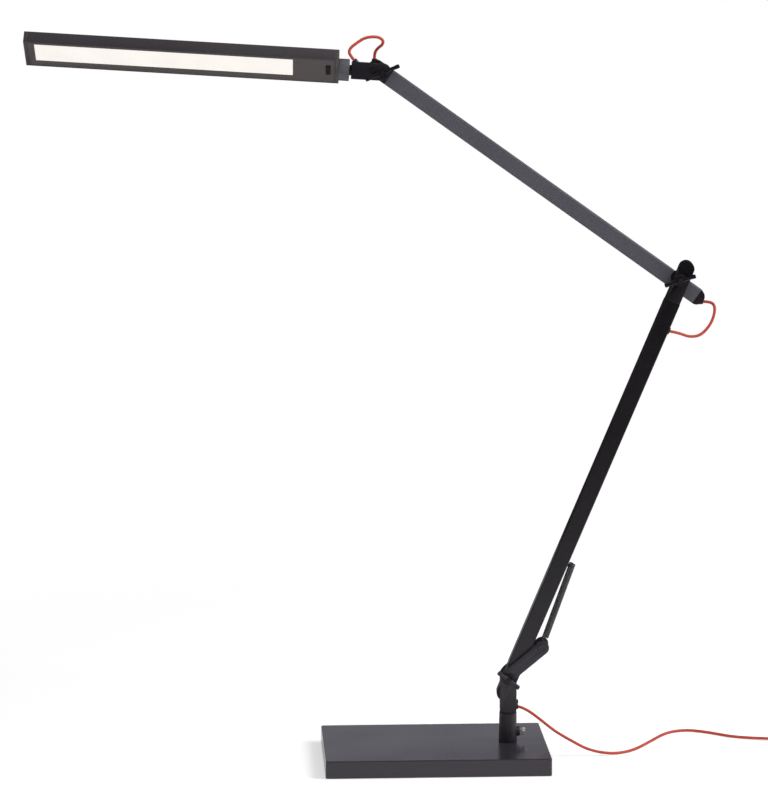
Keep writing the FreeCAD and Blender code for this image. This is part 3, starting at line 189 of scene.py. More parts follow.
def softLine(name, points, steps):
    data = bpy.data.curves.new(name, "CURVE")
    data.dimensions = "3D"
    data.resolution_u = steps
    spline = data.splines.new("NURBS")
    spline.points.add(len(points) - 1)
    for control, place in zip(spline.points, points):
        control.co = (*place, 1)
    spline.order_u = 3
    spline.use_endpoint_u = True
    line = bpy.data.objects.new(name, data)
    bpy.context.collection.objects.link(line)
    return line


def lineToTube(line, diameter, roundness):
    bare = bpy.data.meshes.new_from_object(line)
    path = [tuple(vertex.co) for vertex in bare.vertices]
    bpy.data.meshes.remove(bare)
    line.data.bevel_depth = diameter / 2
    line.data.bevel_resolution = roundness
    line.data.use_fill_caps = True
    onlySelect(line)
    bpy.ops.object.convert(target="MESH")
    bpy.ops.object.shade_smooth_by_angle(angle=math.radians(tubeSmoothUnder))
    return bpy.context.object, path


def pathLength(path):
    return sum((Vector(b) - Vector(a)).length for a, b in zip(path, path[1:]))


cordDiameter = 2.6 * mm
cordMesh = {
    "loopSteps": 10,       # along and around the loops' tubes
    "loopRoundness": 5,
    "supplySteps": 6,      # along and around the supply cord's
    "supplyRoundness": 4,
}
headLoop = {
    "points": [
        (-71.71, 0.0, 626.53), (-73.74, 0.1, 629.06), (-76.0, 1.8, 632.6), (-75.0, 3.0, 636.4),
        (-69.6, 5.0, 640.6), (-61.8, 7.6, 645.6), (-51.8, 10.4, 646.2), (-46.4, 11.9, 643.6),
        (-46.3, 13.2, 639.2), (-51.4, 14.9, 635.6), (-53.9, 17.0, 631.2), (-53.91, 17.2, 626.75),
    ],
}
elbowLoop = {
    "points": [
        (237.26, 17.2, 412.23), (243.4, 16.8, 412.2), (247.6, 14.6, 409.2), (246.9, 12.2, 400.6),
        (243.0, 9.8, 391.8), (234.6, 6.9, 383.2), (224.4, 4.3, 382.3), (214.4, 0.5, 386.6),
        (206.83, 0.0, 387.91),
    ],
}
supply = {
    "route": [
        (75.33, -0.57, 47.8), (81.9, -0.97, 45.8), (94.5, -0.4, 36.2), (108.0, 0.8, 24.5), (122.0, 2.4, 15.7),
        (140.0, 4.0, 5.2), (161.0, 4.5, 1.35), (181.0, 15.5, 1.35), (200.0, 46.0, 1.35), (220.0, 80.0, 1.35),
        (240.0, 89.0, 1.35), (260.0, 78.0, 1.35), (282.0, 58.0, 1.35),
    ],
    "leadIn": 30.0,        # straight run onto the coil
    "coilCentre": (373.0, 46.0),
    "coilBase": 2.6,
    "coilRadius": 20.3,
    "coilStep": 3.0,
    "layers": 4,
    "turnsPerLayer": 3.334,
    "crossover": 0.5,      # turns taken to climb to the next layer
    "startAngle": 239.5,
    "pointsPerTurn": 16,
    "nudge": 1e-3,         # turns, to find which way the coil starts
    "leadOut": 26.0,       # straight end, into the strain relief
    "settled": (140.0, 4.0, 5.2),   # from here on the cord lies still
    "pieces": ["cord_tie", "adapter_body", "adapter_face", "adapter_relief"],
}


def coilPoint(turned):
    inward, height, left, way = 0.0, supply["coilBase"], turned, 1
    for layer in range(supply["layers"]):
        spent = min(left, supply["turnsPerLayer"])
        inward += way * spent
        left -= spent
        if left <= 0 or layer == supply["layers"] - 1:
            break
        climb = min(left, supply["crossover"])
        inward += way * min(climb, supply["crossover"] - climb)
        height += supply["coilStep"] * (1 - math.cos(math.pi * climb / supply["crossover"])) / 2
        left -= climb
        way = -way
    angle = math.radians(supply["startAngle"]) + 2 * math.pi * turned
    radius = supply["coilRadius"] - supply["coilStep"] * inward
    return Vector((
        supply["coilCentre"][0] + radius * math.cos(angle),
        supply["coilCentre"][1] + radius * math.sin(angle),
        height,
    ))


def supplyPoints():
    start = coilPoint(0)
    onwards = coilPoint(supply["nudge"]) - start
    onwards.z = 0
    points = [Vector(point) for point in supply["route"]]
    points += [start - onwards.normalized() * supply["leadIn"]]
    turned = supply["layers"] * supply["turnsPerLayer"] + (supply["layers"] - 1) * supply["crossover"]
    count = round(turned * supply["pointsPerTurn"])
    points += [coilPoint(turned * index / count) for index in range(count + 1)]
    end = points[-1]
    points += [end - Vector((0, supply["leadOut"] / 2, 0)), end - Vector((0, supply["leadOut"], 0))]
    return [point * mm for point in points]


def makeCords():
    made = {}
    for name, loop, node, bodies in (
        ("headLoop", headLoop, "head_loop_cord", ("holder", "upper_arm")),
        ("elbowLoop", elbowLoop, "elbow_loop_cord", ("upper_arm", "lower_arm")),
    ):
        points = onSwivel(loop["points"])
        line = softLine(name, points, cordMesh["loopSteps"])
        tube, path = lineToTube(line, cordDiameter, cordMesh["loopRoundness"])
        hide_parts(node)
        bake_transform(tube)
        made[name] = tube
        print(name, "length", round(pathLength(path), 4))

    points = supplyPoints()
    line = softLine("supplyCord", points, cordMesh["supplySteps"])
    tube, path = lineToTube(line, cordDiameter, cordMesh["supplyRoundness"])
    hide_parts("supply_cord", "supply_coil")
    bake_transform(tube)
    made["supplyCord"] = tube
    print("supplyCord length", round(pathLength(path), 4))
    return made


spring = {
    "pin": (96.246, 0.0, 103.690),
    "pivot": (66.0, 0.0, 75.63),
    "lean": 22.5,
    "studAlong": 114.3,
    "studOut": 13.15,
    "wire": 1.0,
    "radius": 2.7,
    "turns": 64,
    "pointsPerTurn": 12,
    "wireSteps": 2,        # along and around the wire
    "wireRoundness": 2,
    "lowTail": 8.0,
    "overStud": 2.8,       # the last turns close over the stud's head
    "lowLoop": 2.8,
    "lowLoopAngles": range(250, -91, -34),   # degrees, the hook around the pin
    "endRadii": (2.4, 2.0, 1.6, 1.2, 0.85, 0.55),
    "standOff": 4.1,       # spring's middle from the tube
    "studProfile": [(1.5, 0.0), (1.5, 4.5), (2.1, 4.7), (2.1, 5.2), (1.8, 5.5), (0.3, 5.5)],
    "studSides": 32,
    "studSmoothUnder": 35,
}


def onLowerArm(along, out):
    lean = math.radians(spring["lean"])
    up = Vector((math.sin(lean), 0, math.cos(lean)))
    return Vector(spring["pivot"]) + up * along + Vector((math.cos(lean), 0, -math.sin(lean))) * out


def springPoints():
    deep = Vector((0, 1, 0))
    pin = Vector(spring["pin"])
    stud = onLowerArm(spring["studAlong"], spring["studOut"])
    axis = (stud - pin).normalized()
    side = axis.cross(deep).normalized()
    points = []
    for angle in spring["lowLoopAngles"]:
        turn = math.radians(angle)
        points.append(pin + (side * math.cos(turn) - axis * math.sin(turn)) * spring["lowLoop"])
    start = pin + axis * spring["lowTail"]
    length = (stud - pin).length - spring["lowTail"] + spring["overStud"]
    count = spring["turns"] * spring["pointsPerTurn"]
    for index in range(count + 1):
        turn = 2 * math.pi * index / spring["pointsPerTurn"]
        around = (side * math.cos(turn) + deep * math.sin(turn)) * spring["radius"]
        points.append(start + axis * (length * index / count) + around)
    for step, radius in enumerate(spring["endRadii"], 1):
        turn = 2 * math.pi * step / spring["pointsPerTurn"]
        points.append(start + axis * length + (side * math.cos(turn) + deep * math.sin(turn)) * radius)
    return onSwivel(points), onSwivel([pin, stud])


def makeSpring():
    points, (pin, stud) = springPoints()
    line = softLine("balanceSpring", points, spring["wireSteps"])
    coil, path = lineToTube(line, spring["wire"] * mm, spring["wireRoundness"])
    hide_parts("balance_spring")
    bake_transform(coil)
    print("balanceSpring wire", round(pathLength(path), 3))
    return coil


cords = makeCords()
coilSpring = makeSpring()


# pieces modelled from primitives
def finishPiece(piece, place, body, node):
    piece.matrix_world = place
    onlySelect(piece)
    bpy.ops.object.transform_apply(location=True, rotation=True, scale=True)
    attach(piece, body)
    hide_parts(node)
    return piece


def turnedPiece(name, profile, sides, bored):
    radius, height = profile[0]
    bpy.ops.object.select_all(action="DESELECT")
    bpy.ops.mesh.primitive_circle_add(
        vertices=sides, radius=radius * mm, location=(0, 0, height * mm),
        fill_type="NOTHING" if bored else "NGON",
    )
    piece = bpy.context.object
    piece.name = name
    bpy.ops.object.transform_apply(location=True, rotation=True, scale=True)
    bpy.ops.object.mode_set(mode="EDIT")
    bpy.ops.mesh.select_all(action="SELECT")
    rest = profile[1:] + profile[:1] if bored else profile[1:]
    for nextRadius, nextHeight in rest:
        grow = nextRadius / radius
        bpy.ops.mesh.extrude_region_move()
        bpy.ops.transform.resize(value=(grow, grow, 1), center_override=(0, 0, height * mm))
        bpy.ops.transform.translate(value=(0, 0, (nextHeight - height) * mm))
        radius, height = nextRadius, nextHeight
    bpy.ops.mesh.select_all(action="SELECT")
    bpy.ops.mesh.remove_doubles(threshold=softening["merge"])
    bpy.ops.mesh.normals_make_consistent(inside=False)
    bpy.ops.object.mode_set(mode="OBJECT")
    return piece


def selectVerts(piece, chosen):
    onlySelect(piece)
    bpy.ops.object.mode_set(mode="EDIT")
    bpy.ops.mesh.select_mode(type="VERT")
    bpy.ops.mesh.select_all(action="DESELECT")
    bpy.ops.object.mode_set(mode="OBJECT")
    for vertex in piece.data.vertices:
        vertex.select = chosen(vertex.co)
    bpy.ops.object.mode_set(mode="EDIT")


wingNut = {
    "hub": [  # radius, height over the seat
        (2.1, 0.0), (4.7, 0.0), (5.0, 0.3), (4.75, 1.6), (4.1, 5.2), (3.9, 5.8), (3.6, 6.0), (2.5, 6.0),
        (2.1, 5.6),
    ],
    "sections": [  # out from the axis as a share of half the span, low, high, thickness
        (0.18, 1.2, 6.0, 4.4), (0.42, 1.2, 6.2, 3.3), (0.68, 1.5, 7.0, 3.2), (0.88, 1.9, 7.6, 3.7),
        (1.0, 2.6, 7.2, 3.2),
    ],
    "sides": 48,
    "rootLength": 0.2,     # first slice of a wing, inside the hub
    "crease": 0.35,
    "levels": 3,
    "smoothUnder": 35,
    "places": {
        "wing_nut_base": {"at": (66.0, -11.6, 75.63), "span": 23.6, "turn": -37.2},
        "wing_nut_elbow": {"at": (214.519, -8.1, 434.188), "span": 28.5, "turn": 17.8},
        "wing_nut_head": {"at": (-46.506, -8.1, 615.839), "span": 32.0, "turn": 22.7},
    },
    "finish": {
        "wing_nut_base": "bracketPaint", "wing_nut_elbow": "fittingBlack", "wing_nut_head": "blackPlastic",
    },
}


def makeWing(span):
    bpy.ops.object.select_all(action="DESELECT")
    bpy.ops.mesh.primitive_cube_add(size=1)
    wing = bpy.context.object
    reach, low, high, thick = wingNut["sections"][0]
    half, root = span / 2, wingNut["rootLength"]
    wing.scale = (root * mm, thick * mm, (high - low) * mm)
    wing.location = ((reach * half - root / 2) * mm, 0, (high + low) / 2 * mm)
    bpy.ops.object.transform_apply(location=True, rotation=True, scale=True)
    selectFaces(wing, lambda face: face.normal.x > softening["facing"])
    for nextReach, nextLow, nextHigh, nextThick in wingNut["sections"][1:]:
        middle, nextMiddle = (low + high) / 2, (nextLow + nextHigh) / 2
        bpy.ops.mesh.extrude_region_move()
        bpy.ops.transform.resize(
            value=(1, nextThick / thick, (nextHigh - nextLow) / (high - low)),
            center_override=(reach * half * mm, 0, middle * mm),
        )
        outward, upward = (nextReach - reach) * half * mm, (nextMiddle - middle) * mm
        bpy.ops.transform.translate(value=(outward, 0, upward))
        reach, low, high, thick = nextReach, nextLow, nextHigh, nextThick
    bpy.ops.mesh.select_all(action="SELECT")
    bpy.ops.transform.edge_crease(value=wingNut["crease"])
    bpy.ops.object.mode_set(mode="OBJECT")
    rounding = wing.modifiers.new("rounding", "SUBSURF")
    rounding.levels = rounding.render_levels = wingNut["levels"]
    applyModifiers(wing)
    return wing


def makeWingNut(node, body):
    data = wingNut["places"][node]
    name = "wingNut" + node.split("_")[-1].title()
    nut = turnedPiece(name, wingNut["hub"], wingNut["sides"], True)
    for angle in (0, math.pi):
        wing = makeWing(data["span"])
        wing.matrix_world = Matrix.Rotation(angle, 4, "Z")
        onlySelect(wing)
        bpy.ops.object.transform_apply(location=True, rotation=True, scale=True)
        joint = nut.modifiers.new("joined", "BOOLEAN")
        joint.operation = "UNION"
        joint.solver = "EXACT"
        joint.object = wing
        applyModifiers(nut)
        bpy.data.objects.remove(wing)
    onlySelect(nut)
    bpy.ops.object.shade_smooth_by_angle(angle=math.radians(wingNut["smoothUnder"]))
    place = (
        swivelPlace @ Matrix.Translation(Vector(data["at"]) * mm)
        @ Matrix.Rotation(math.pi / 2, 4, "X") @ Matrix.Rotation(math.radians(data["turn"]), 4, "Z")
    )
    return finishPiece(nut, place, body, node)


knurledScrew = {
    "at": (69.35, 0.0, 25.0),
    "profile": [
        (1.5, 0.0), (2.0, 0.5), (2.0, 7.3), (2.9, 7.3), (3.2, 7.7), (3.2, 11.6), (2.9, 12.1), (1.9, 12.1),
        (1.7, 11.8), (0.3, 11.8),
    ],
    "ridges": 26,
    "ridgedOver": 3.0,     # radius where the ridges are
    "valleyShare": 0.9,    # a valley's radius as a share of a ridge's
    "smoothUnder": 25,
}


def makeThumbscrew():
    sides = knurledScrew["ridges"] * 2
    screw = turnedPiece("thumbScrew", knurledScrew["profile"], sides, False)
    step = 2 * math.pi / sides

    def valley(co):
        ridged = math.hypot(co.x, co.y) > knurledScrew["ridgedOver"] * mm
        return ridged and round(math.atan2(co.y, co.x) / step) % 2 == 1

    selectVerts(screw, valley)
    shrink = knurledScrew["valleyShare"]
    bpy.ops.transform.resize(value=(shrink, shrink, 1), center_override=(0, 0, 0))
    bpy.ops.object.mode_set(mode="OBJECT")
    bpy.ops.object.shade_smooth_by_angle(angle=math.radians(knurledScrew["smoothUnder"]))
    place = Matrix.Translation(Vector(knurledScrew["at"]) * mm) @ Matrix.Rotation(math.pi / 2, 4, "Y")
    return finishPiece(screw, place, "thumbscrew", "thumbscrew")


def makeStud():
    stud = turnedPiece("springStud", spring["studProfile"], spring["studSides"], False)
    bpy.ops.object.shade_smooth_by_angle(angle=math.radians(spring["studSmoothUnder"]))
    foot = onLowerArm(spring["studAlong"], spring["studOut"] - spring["standOff"]) * mm
    outwards = Matrix.Rotation(math.radians(90 + spring["lean"]), 4, "Y")
    place = swivelPlace @ Matrix.Translation(foot) @ outwards
    return finishPiece(stud, place, "lower_arm", "spring_stud")


wingNuts = {name: makeWingNut(name, name) for name in wingNut["places"]}
thumbScrew = makeThumbscrew()
springStud = makeStud()
print("wing nuts, thumbscrew and spring stud modelled")


# shader groups shared by the finishes
def newGroup(name, colours, amounts):
    group = bpy.data.node_groups.new(name, "ShaderNodeTree")
    inputs = [("Vector", "Vector")]
    inputs += [(label, "Color") for label in colours]
    inputs += [(label, "Float") for label in amounts]
    for label, kind in inputs:
        group.interface.new_socket(label, in_out="INPUT", socket_type="NodeSocket" + kind)
    for label, kind in (("Color", "Color"), ("Roughness", "Float"), ("Height", "Float")):
        group.interface.new_socket(label, in_out="OUTPUT", socket_type="NodeSocket" + kind)
    start = group.nodes.new("NodeGroupInput")
    end = group.nodes.new("NodeGroupOutput")
    return group, start.outputs, end.inputs


def addNode(tree, kind, links=(), **values):
    made = tree.nodes.new("ShaderNode" + kind)
    for key, value in values.items():
        setattr(made, key, value)
    for socket, source in dict(links).items():
        if isinstance(source, bpy.types.NodeSocket):
            tree.links.new(source, made.inputs[socket])
        else:
            made.inputs[socket].default_value = source
    return made


def remap(tree, value, span, to=(0.0, 1.0), **values):
    links = {"Value": value, "From Min": span[0], "From Max": span[1], "To Min": to[0], "To Max": to[1]}
    return addNode(tree, "MapRange", links, **values).outputs["Result"]


def reckon(tree, operation, first, second):
    return addNode(tree, "Math", {0: first, 1: second}, operation=operation).outputs[0]


def brighten(tree, colour, gain):
    return addNode(tree, "VectorMath", {0: colour, 3: gain}, operation="SCALE").outputs["Vector"]


def noise(tree, vector, scale, detail):
    return addNode(tree, "TexNoise", {"Vector": vector, "Scale": scale, "Detail": detail}).outputs["Fac"]


noiseSpan = (0.3, 0.7)     # most of a noise lies between these
paintLook = {
    "fineDetail": 2.0,
    "broadScale": 14.0,
    "broadDetail": 4.0,
    "flecks": (0.42, 0.72),
    "tone": (0.93, 1.07),
    "rough": (-0.04, 0.04),
}


def paintGroup():
    group, given, result = newGroup("finePaint", ("Color", "Fleck"), ("Scale", "Roughness"))
    fine = noise(group, given["Vector"], given["Scale"], paintLook["fineDetail"])
    broad = noise(group, given["Vector"], paintLook["broadScale"], paintLook["broadDetail"])
    dots = remap(group, fine, paintLook["flecks"])
    toned = brighten(group, given["Color"], remap(group, broad, noiseSpan, paintLook["tone"]))
    flecked = addNode(group, "Mix", {0: dots, 6: toned, 7: given["Fleck"]}, data_type="RGBA")
    rough = reckon(group, "ADD", given["Roughness"], remap(group, broad, noiseSpan, paintLook["rough"]))
    group.links.new(flecked.outputs[2], result["Color"])
    group.links.new(rough, result["Roughness"])
    group.links.new(fine, result["Height"])
    return group


grainLook = {
    "lineDetail": 3.0,
    "cloudScale": 22.0,
    "cloudDetail": 3.0,
    "span": (0.6, 1.4),    # lines and cloud together
    "swing": (-1.0, 1.0),
    "rough": 0.05,
}


def grainGroup():
    group, given, result = newGroup("drawnLines", ("Color",), ("Across", "Along", "Contrast", "Roughness"))
    stretch = addNode(group, "CombineXYZ", {"X": given["Across"], "Y": given["Across"], "Z": given["Along"]})
    drawn = addNode(
        group, "VectorMath", {0: given["Vector"], 1: stretch.outputs["Vector"]}, operation="MULTIPLY",
    )
    lines = noise(group, drawn.outputs["Vector"], 1.0, grainLook["lineDetail"])
    cloud = noise(group, given["Vector"], grainLook["cloudScale"], grainLook["cloudDetail"])
    both = reckon(group, "ADD", lines, cloud)
    swing = remap(group, both, grainLook["span"], grainLook["swing"])
    gain = reckon(group, "ADD", reckon(group, "MULTIPLY", swing, given["Contrast"]), 1.0)
    toned = brighten(group, given["Color"], gain)
    rough = reckon(group, "ADD", given["Roughness"], reckon(group, "MULTIPLY", swing, grainLook["rough"]))
    group.links.new(toned, result["Color"])
    group.links.new(rough, result["Roughness"])
    group.links.new(lines, result["Height"])
    return group


mouldLook = {
    "flowScale": 45.0,
    "flowDetail": 4.0,
    "tone": (0.85, 1.15),
    "rough": (-0.06, 0.06),
}


def mouldGroup():
    group, given, result = newGroup("mouldGrain", ("Color",), ("Scale", "Roughness"))
    cells = addNode(group, "TexVoronoi", {"Vector": given["Vector"], "Scale": given["Scale"]})
    flow = noise(group, given["Vector"], mouldLook["flowScale"], mouldLook["flowDetail"])
    toned = brighten(group, given["Color"], remap(group, flow, noiseSpan, mouldLook["tone"]))
    rough = reckon(group, "ADD", given["Roughness"], remap(group, flow, noiseSpan, mouldLook["rough"]))
    group.links.new(toned, result["Color"])
    group.links.new(rough, result["Roughness"])
    group.links.new(cells.outputs["Distance"], result["Height"])
    return group


effects = {"paint": paintGroup(), "grain": grainGroup(), "mould": mouldGroup()}

# finishes: group, its values, bump depth in mm, plain shader values, and the drawn lines' lean in degrees
finishes = {
    "basePaint": {
        "effect": "paint", "Color": (0.031, 0.026, 0.034), "Fleck": (0.043, 0.037, 0.047),
        "Scale": 2800.0, "Roughness": 0.24, "bump": 0.006, "specular": 0.4,
    },
    "postPaint": {
        "effect": "paint", "Color": (0.0172, 0.0128, 0.0192), "Fleck": (0.024, 0.019, 0.026),
        "Scale": 2800.0, "Roughness": 0.42, "bump": 0.008, "specular": 0.45,
    },
    "bracketPaint": {
        "effect": "paint", "Color": (0.0255, 0.0205, 0.0285), "Fleck": (0.033, 0.028, 0.036),
        "Scale": 2800.0, "Roughness": 0.42, "bump": 0.008, "specular": 0.45,
    },
    "armBlack": {
        "effect": "grain", "Color": (0.0084, 0.0054, 0.0084), "Across": 900.0, "Along": 5.0,
        "Contrast": 0.25, "Roughness": 0.36, "bump": 0.01, "specular": 0.5, "lean": 22.5,
    },
    "armGrey": {
        "effect": "grain", "Color": (0.1, 0.098, 0.116), "Across": 900.0, "Along": 5.0, "Contrast": 0.07,
        "Roughness": 0.45, "bump": 0.01, "specular": 0.3, "lean": -54.67,
    },
    "headPaint": {
        "effect": "grain", "Color": (0.0485, 0.0415, 0.0485), "Across": 900.0, "Along": 6.0,
        "Contrast": 0.15, "Roughness": 0.45, "bump": 0.008, "specular": 0.4, "lean": 93.3,
    },
    "bezelPaint": {
        "effect": "paint", "Color": (0.075, 0.0605, 0.0595), "Fleck": (0.091, 0.0745, 0.0735),
        "Scale": 2600.0, "Roughness": 0.5, "bump": 0.01, "specular": 0.4,
    },
    "blackPlastic": {
        "effect": "mould", "Color": (0.0115, 0.0083, 0.0132), "Scale": 1500.0, "Roughness": 0.48,
        "bump": 0.02, "specular": 0.35,
    },
    "holderBlack": {
        "effect": "mould", "Color": (0.018, 0.0137, 0.021), "Scale": 1500.0, "Roughness": 0.48,
        "bump": 0.02, "specular": 0.35,
    },
    "fittingBlack": {
        "effect": "mould", "Color": (0.0078, 0.0056, 0.009), "Scale": 1500.0, "Roughness": 0.36,
        "bump": 0.01, "specular": 0.4,
    },
    "switchBlack": {
        "effect": "mould", "Color": (0.0045, 0.004, 0.005), "Scale": 1500.0, "Roughness": 0.55,
        "bump": 0.01, "specular": 0.15,
    },
    "greyPlastic": {
        "effect": "mould", "Color": (0.104, 0.101, 0.122), "Scale": 1500.0, "Roughness": 0.45,
        "bump": 0.015, "specular": 0.4,
    },
    "padRubber": {
        "effect": "mould", "Color": (0.02, 0.02, 0.021), "Scale": 700.0, "Roughness": 0.8, "bump": 0.06,
        "specular": 0.3,
    },
    "cordJacket": {
        "effect": "mould", "Color": (0.58, 0.07, 0.04), "Scale": 2200.0, "Roughness": 0.5, "bump": 0.01,
        "specular": 0.4,
    },
    "steel": {
        "effect": "grain", "Color": (0.5, 0.5, 0.49), "Across": 1500.0, "Along": 40.0, "Contrast": 0.15,
        "Roughness": 0.3, "bump": 0.005, "metallic": 1.0,
    },
    "nickel": {
        "effect": "grain", "Color": (0.86, 0.83, 0.77), "Across": 1800.0, "Along": 60.0, "Contrast": 0.1,
        "Roughness": 0.4, "bump": 0.004, "metallic": 1.0,
    },
    "darkSteel": {
        "effect": "grain", "Color": (0.016, 0.0145, 0.017), "Across": 1500.0, "Along": 60.0,
        "Contrast": 0.3, "Roughness": 0.45, "bump": 0.005, "specular": 0.25,
    },
    "springSteel": {
        "effect": "grain", "Color": (0.06, 0.056, 0.062), "Across": 1500.0, "Along": 60.0,
        "Contrast": 0.2, "Roughness": 0.35, "bump": 0.005, "specular": 0.5,
    },
    "castIron": {
        "effect": "mould", "Color": (0.06, 0.06, 0.06), "Scale": 350.0, "Roughness": 0.75, "bump": 0.15,
        "specular": 0.4,
    },
    "opal": {
        "effect": "mould", "Color": (0.3, 0.29, 0.28), "Scale": 2500.0, "Roughness": 0.4, "bump": 0.004,
        "specular": 0.4, "glow": (0.99, 0.945, 0.88), "glowStrength": 0.76,
    },
    "board": {
        "effect": "mould", "Color": (0.7, 0.7, 0.67), "Scale": 900.0, "Roughness": 0.5, "bump": 0.01,
        "specular": 0.4,
    },
    "phosphor": {
        "effect": "mould", "Color": (0.85, 0.66, 0.2), "Scale": 2500.0, "Roughness": 0.4, "bump": 0.01,
        "specular": 0.4,
    },
}
bumpStrength = 0.6


def makeFinish(name, data):
    material = bpy.data.materials.new(name)
    material.use_nodes = True
    tree = material.node_tree
    shader = tree.nodes["Principled BSDF"]
    spot = addNode(tree, "TexCoord")
    vector = spot.outputs["Object"]
    if "lean" in data:
        yaw = Matrix.Rotation(math.radians(swivel["yaw"]), 3, "Z")
        turn = yaw @ Matrix.Rotation(math.radians(data["lean"]), 3, "Y")
        lined = addNode(tree, "Mapping", {"Vector": vector, "Rotation": turn.inverted().to_euler()})
        vector = lined.outputs["Vector"]
    effect = tree.nodes.new("ShaderNodeGroup")
    effect.node_tree = effects[data["effect"]]
    tree.links.new(vector, effect.inputs["Vector"])
    for label in ("Color", "Fleck"):
        if label in data:
            effect.inputs[label].default_value = (*data[label], 1)
    for label in ("Scale", "Roughness", "Across", "Along", "Contrast"):
        if label in data:
            effect.inputs[label].default_value = data[label]
    bump = addNode(tree, "Bump", {
        "Height": effect.outputs["Height"], "Strength": bumpStrength, "Distance": data["bump"] * mm,
    })
    tree.links.new(effect.outputs["Color"], shader.inputs["Base Color"])
    tree.links.new(effect.outputs["Roughness"], shader.inputs["Roughness"])
    tree.links.new(bump.outputs["Normal"], shader.inputs["Normal"])
    shader.inputs["Specular IOR Level"].default_value = data.get("specular", 0.5)
    shader.inputs["Metallic"].default_value = data.get("metallic", 0.0)
    if "glow" in data:
        shader.inputs["Emission Color"].default_value = (*data["glow"], 1)
        shader.inputs["Emission Strength"].default_value = data["glowStrength"]
    return material


finishNodes = {
    "basePaint": ["base_cover"],
    "postPaint": ["post"],
    "bracketPaint": ["swivel_bracket", "lever_pin"],
    "armBlack": ["lower_arm_tube"],
    "armGrey": ["upper_arm_tube"],
    "headPaint": ["head_housing", "head_cap_left"],
    "bezelPaint": ["head_bezel", "head_cap_right"],
    "blackPlastic": [
        "post_bush", "cord_tie", "adapter_body", "adapter_face", "adapter_relief", "pivot_washers",
        "cord_grommet", "lower_foot_fitting", "lower_arm_grommet", "upper_rear_cap", "upper_front_fitting",
        "elbow_disc", "head_disc",
    ],
    "fittingBlack": ["lower_top_fitting"],
    "switchBlack": ["dim_switch", "switch_button"],
    "holderBlack": ["holder_front", "holder_rear", "roll_washer"],
    "greyPlastic": ["roll_collar"],
    "padRubber": ["base_pad"],
    "cordJacket": ["lower_arm_cord", "upper_arm_cord"],
    "steel": ["post_nut", "swivel_pin", "roll_shaft", "roll_clip", "adapter_pins"],
    "darkSteel": [
        "pivot_bolt", "elbow_bolt", "head_bolt", "pivot_nut_washer", "elbow_nut_washer", "head_nut_washer",
        "holder_screw",
    ],
    "castIron": ["base_weight"],
    "opal": ["diffuser"],
    "board": ["led_board", "driver_board"],
    "phosphor": ["led_chips"],
}
materials = {name: makeFinish(name, data) for name, data in finishes.items()}


def wear(piece, name):
    piece.data.materials.clear()
    piece.data.materials.append(materials[name])


for finish, names in finishNodes.items():
    for name in names:
        wear(softPieces.get(name, cadNodes[name]), finish)
for piece in cords.values():
    wear(piece, "cordJacket")
wear(coilSpring, "springSteel")
wear(springStud, "darkSteel")
for name, piece in wingNuts.items():
    wear(piece, wingNut["finish"][name])
wear(thumbScrew, "nickel")
print("finishes made:", len(materials))

# floor, background and light
studio = {
    "floorSize": 14.0,
    "floorColor": (0.78, 0.78, 0.785),
    "mottleScale": 3.0,
    "mottle": (0.985, 1.015),
    "floorLift": 0.48,     # white added for the camera and for reflections
    "fade": (0.35, 0.95),  # between these the floor goes over to plain white
    "ambient": 0.27,
    "cards": {             # cards seen only in reflections: size, place, turn about X, tone
        "frontCard": ((5.0, 3.0), (0, -0.85, 1.5), 90, (0.012, 0.012, 0.012)),
        "topCard": ((5.0, 2.2), (0, -0.25, 2.2), 0, (0.5, 0.5, 0.52)),
        "lowBackCard": ((6.0, 0.15), (0, 0.35, 0.075), 90, (0.475, 0.475, 0.535)),
        "backCard": ((6.0, 2.2), (0, 0.36, 1.25), 90, (0.03, 0.03, 0.03)),
    },
}


def seenDirectly(tree):
    path = addNode(tree, "LightPath")
    first = reckon(tree, "MAXIMUM", path.outputs["Is Camera Ray"], path.outputs["Is Glossy Ray"])
    return reckon(tree, "MAXIMUM", first, path.outputs["Is Transmission Ray"])


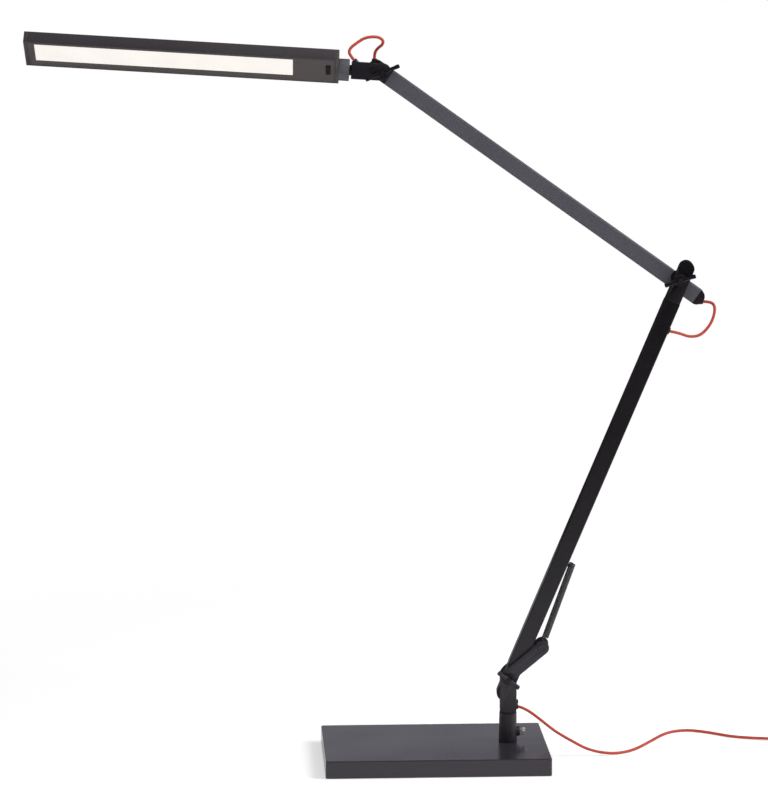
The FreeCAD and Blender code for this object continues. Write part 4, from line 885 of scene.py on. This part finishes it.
def makeFloor():
    bpy.ops.object.select_all(action="DESELECT")
    bpy.ops.mesh.primitive_plane_add(size=studio["floorSize"])
    floor = bpy.context.object
    floor.name = "floor"
    material = bpy.data.materials.new("paleFloor")
    material.use_nodes = True
    tree = material.node_tree
    tree.nodes.clear()
    spot = addNode(tree, "TexCoord")
    mottle = addNode(tree, "TexNoise", {"Vector": spot.outputs["Object"], "Scale": studio["mottleScale"]})
    tone = remap(tree, mottle.outputs["Fac"], (0.0, 1.0), studio["mottle"])
    matt = addNode(tree, "BsdfDiffuse", {"Color": brighten(tree, studio["floorColor"], tone)})
    lift = reckon(tree, "MULTIPLY", seenDirectly(tree), studio["floorLift"])
    glow = addNode(tree, "Emission", {"Strength": lift})
    both = addNode(tree, "AddShader", {0: matt.outputs[0], 1: glow.outputs[0]})
    reach = addNode(tree, "VectorMath", {0: spot.outputs["Object"]}, operation="LENGTH")
    far = remap(tree, reach.outputs["Value"], studio["fade"], interpolation_type="SMOOTHSTEP")
    fade = reckon(tree, "MULTIPLY", far, seenDirectly(tree))
    white = addNode(tree, "Emission", {"Strength": 1.0})
    surface = addNode(tree, "MixShader", {0: fade, 1: both.outputs[0], 2: white.outputs[0]})
    addNode(tree, "OutputMaterial", {"Surface": surface.outputs[0]})
    floor.data.materials.append(material)


def makeWorld():
    world = bpy.data.worlds.new("paleStudio")
    bpy.context.scene.world = world
    world.use_nodes = True
    tree = world.node_tree
    background = tree.nodes["Background"]
    background.inputs["Color"].default_value = (1, 1, 1, 1)
    level = remap(tree, seenDirectly(tree), (0.0, 1.0), (studio["ambient"], 1.0))
    tree.links.new(level, background.inputs["Strength"])


def makeCards():
    for name, (size, place, turn, tone) in studio["cards"].items():
        material = bpy.data.materials.new(name + "Tone")
        material.use_nodes = True
        tree = material.node_tree
        tree.nodes.clear()
        shade = addNode(tree, "Emission", {"Color": (*tone, 1)})
        addNode(tree, "OutputMaterial", {"Surface": shade.outputs[0]})
        bpy.ops.object.select_all(action="DESELECT")
        bpy.ops.mesh.primitive_plane_add(size=1, location=place, rotation=(math.radians(turn), 0, 0))
        card = bpy.context.object
        card.name = name
        card.scale = (*size, 1)
        card.data.materials.append(material)
        card.visible_camera = False
        card.visible_diffuse = False
        card.visible_shadow = False


lamps = {
    "rightKey": {"at": (1.7, -0.5, 2.0), "aim": (0, 0, 0.2), "size": (1.2, 1.2), "power": 43.0},
    "frontFill": {
        "at": (-0.5, -2.6, 0.8), "aim": (0, 0, 0.3), "size": (1.8, 1.2), "power": 18.0,
        "matt": True,      # not seen in reflections
    },
    "overhead": {"at": (-0.1, 0.2, 2.7), "aim": (0, 0, 0.2), "size": (2.4, 1.8), "power": 4.0},
}


def makeLamps():
    for name, data in lamps.items():
        bpy.ops.object.light_add(type="AREA", location=data["at"])
        lamp = bpy.context.object
        lamp.name = name
        lamp.data.shape = "RECTANGLE"
        lamp.data.size, lamp.data.size_y = data["size"]
        lamp.data.energy = data["power"]
        lamp.visible_glossy = not data.get("matt", False)
        aim = Vector(data["aim"]) - Vector(data["at"])
        lamp.rotation_euler = aim.to_track_quat("-Z", "Y").to_euler()


makeFloor()
makeWorld()
makeCards()
makeLamps()
bpy.context.scene.view_settings.view_transform = "Standard"
print("stage and lamps placed")
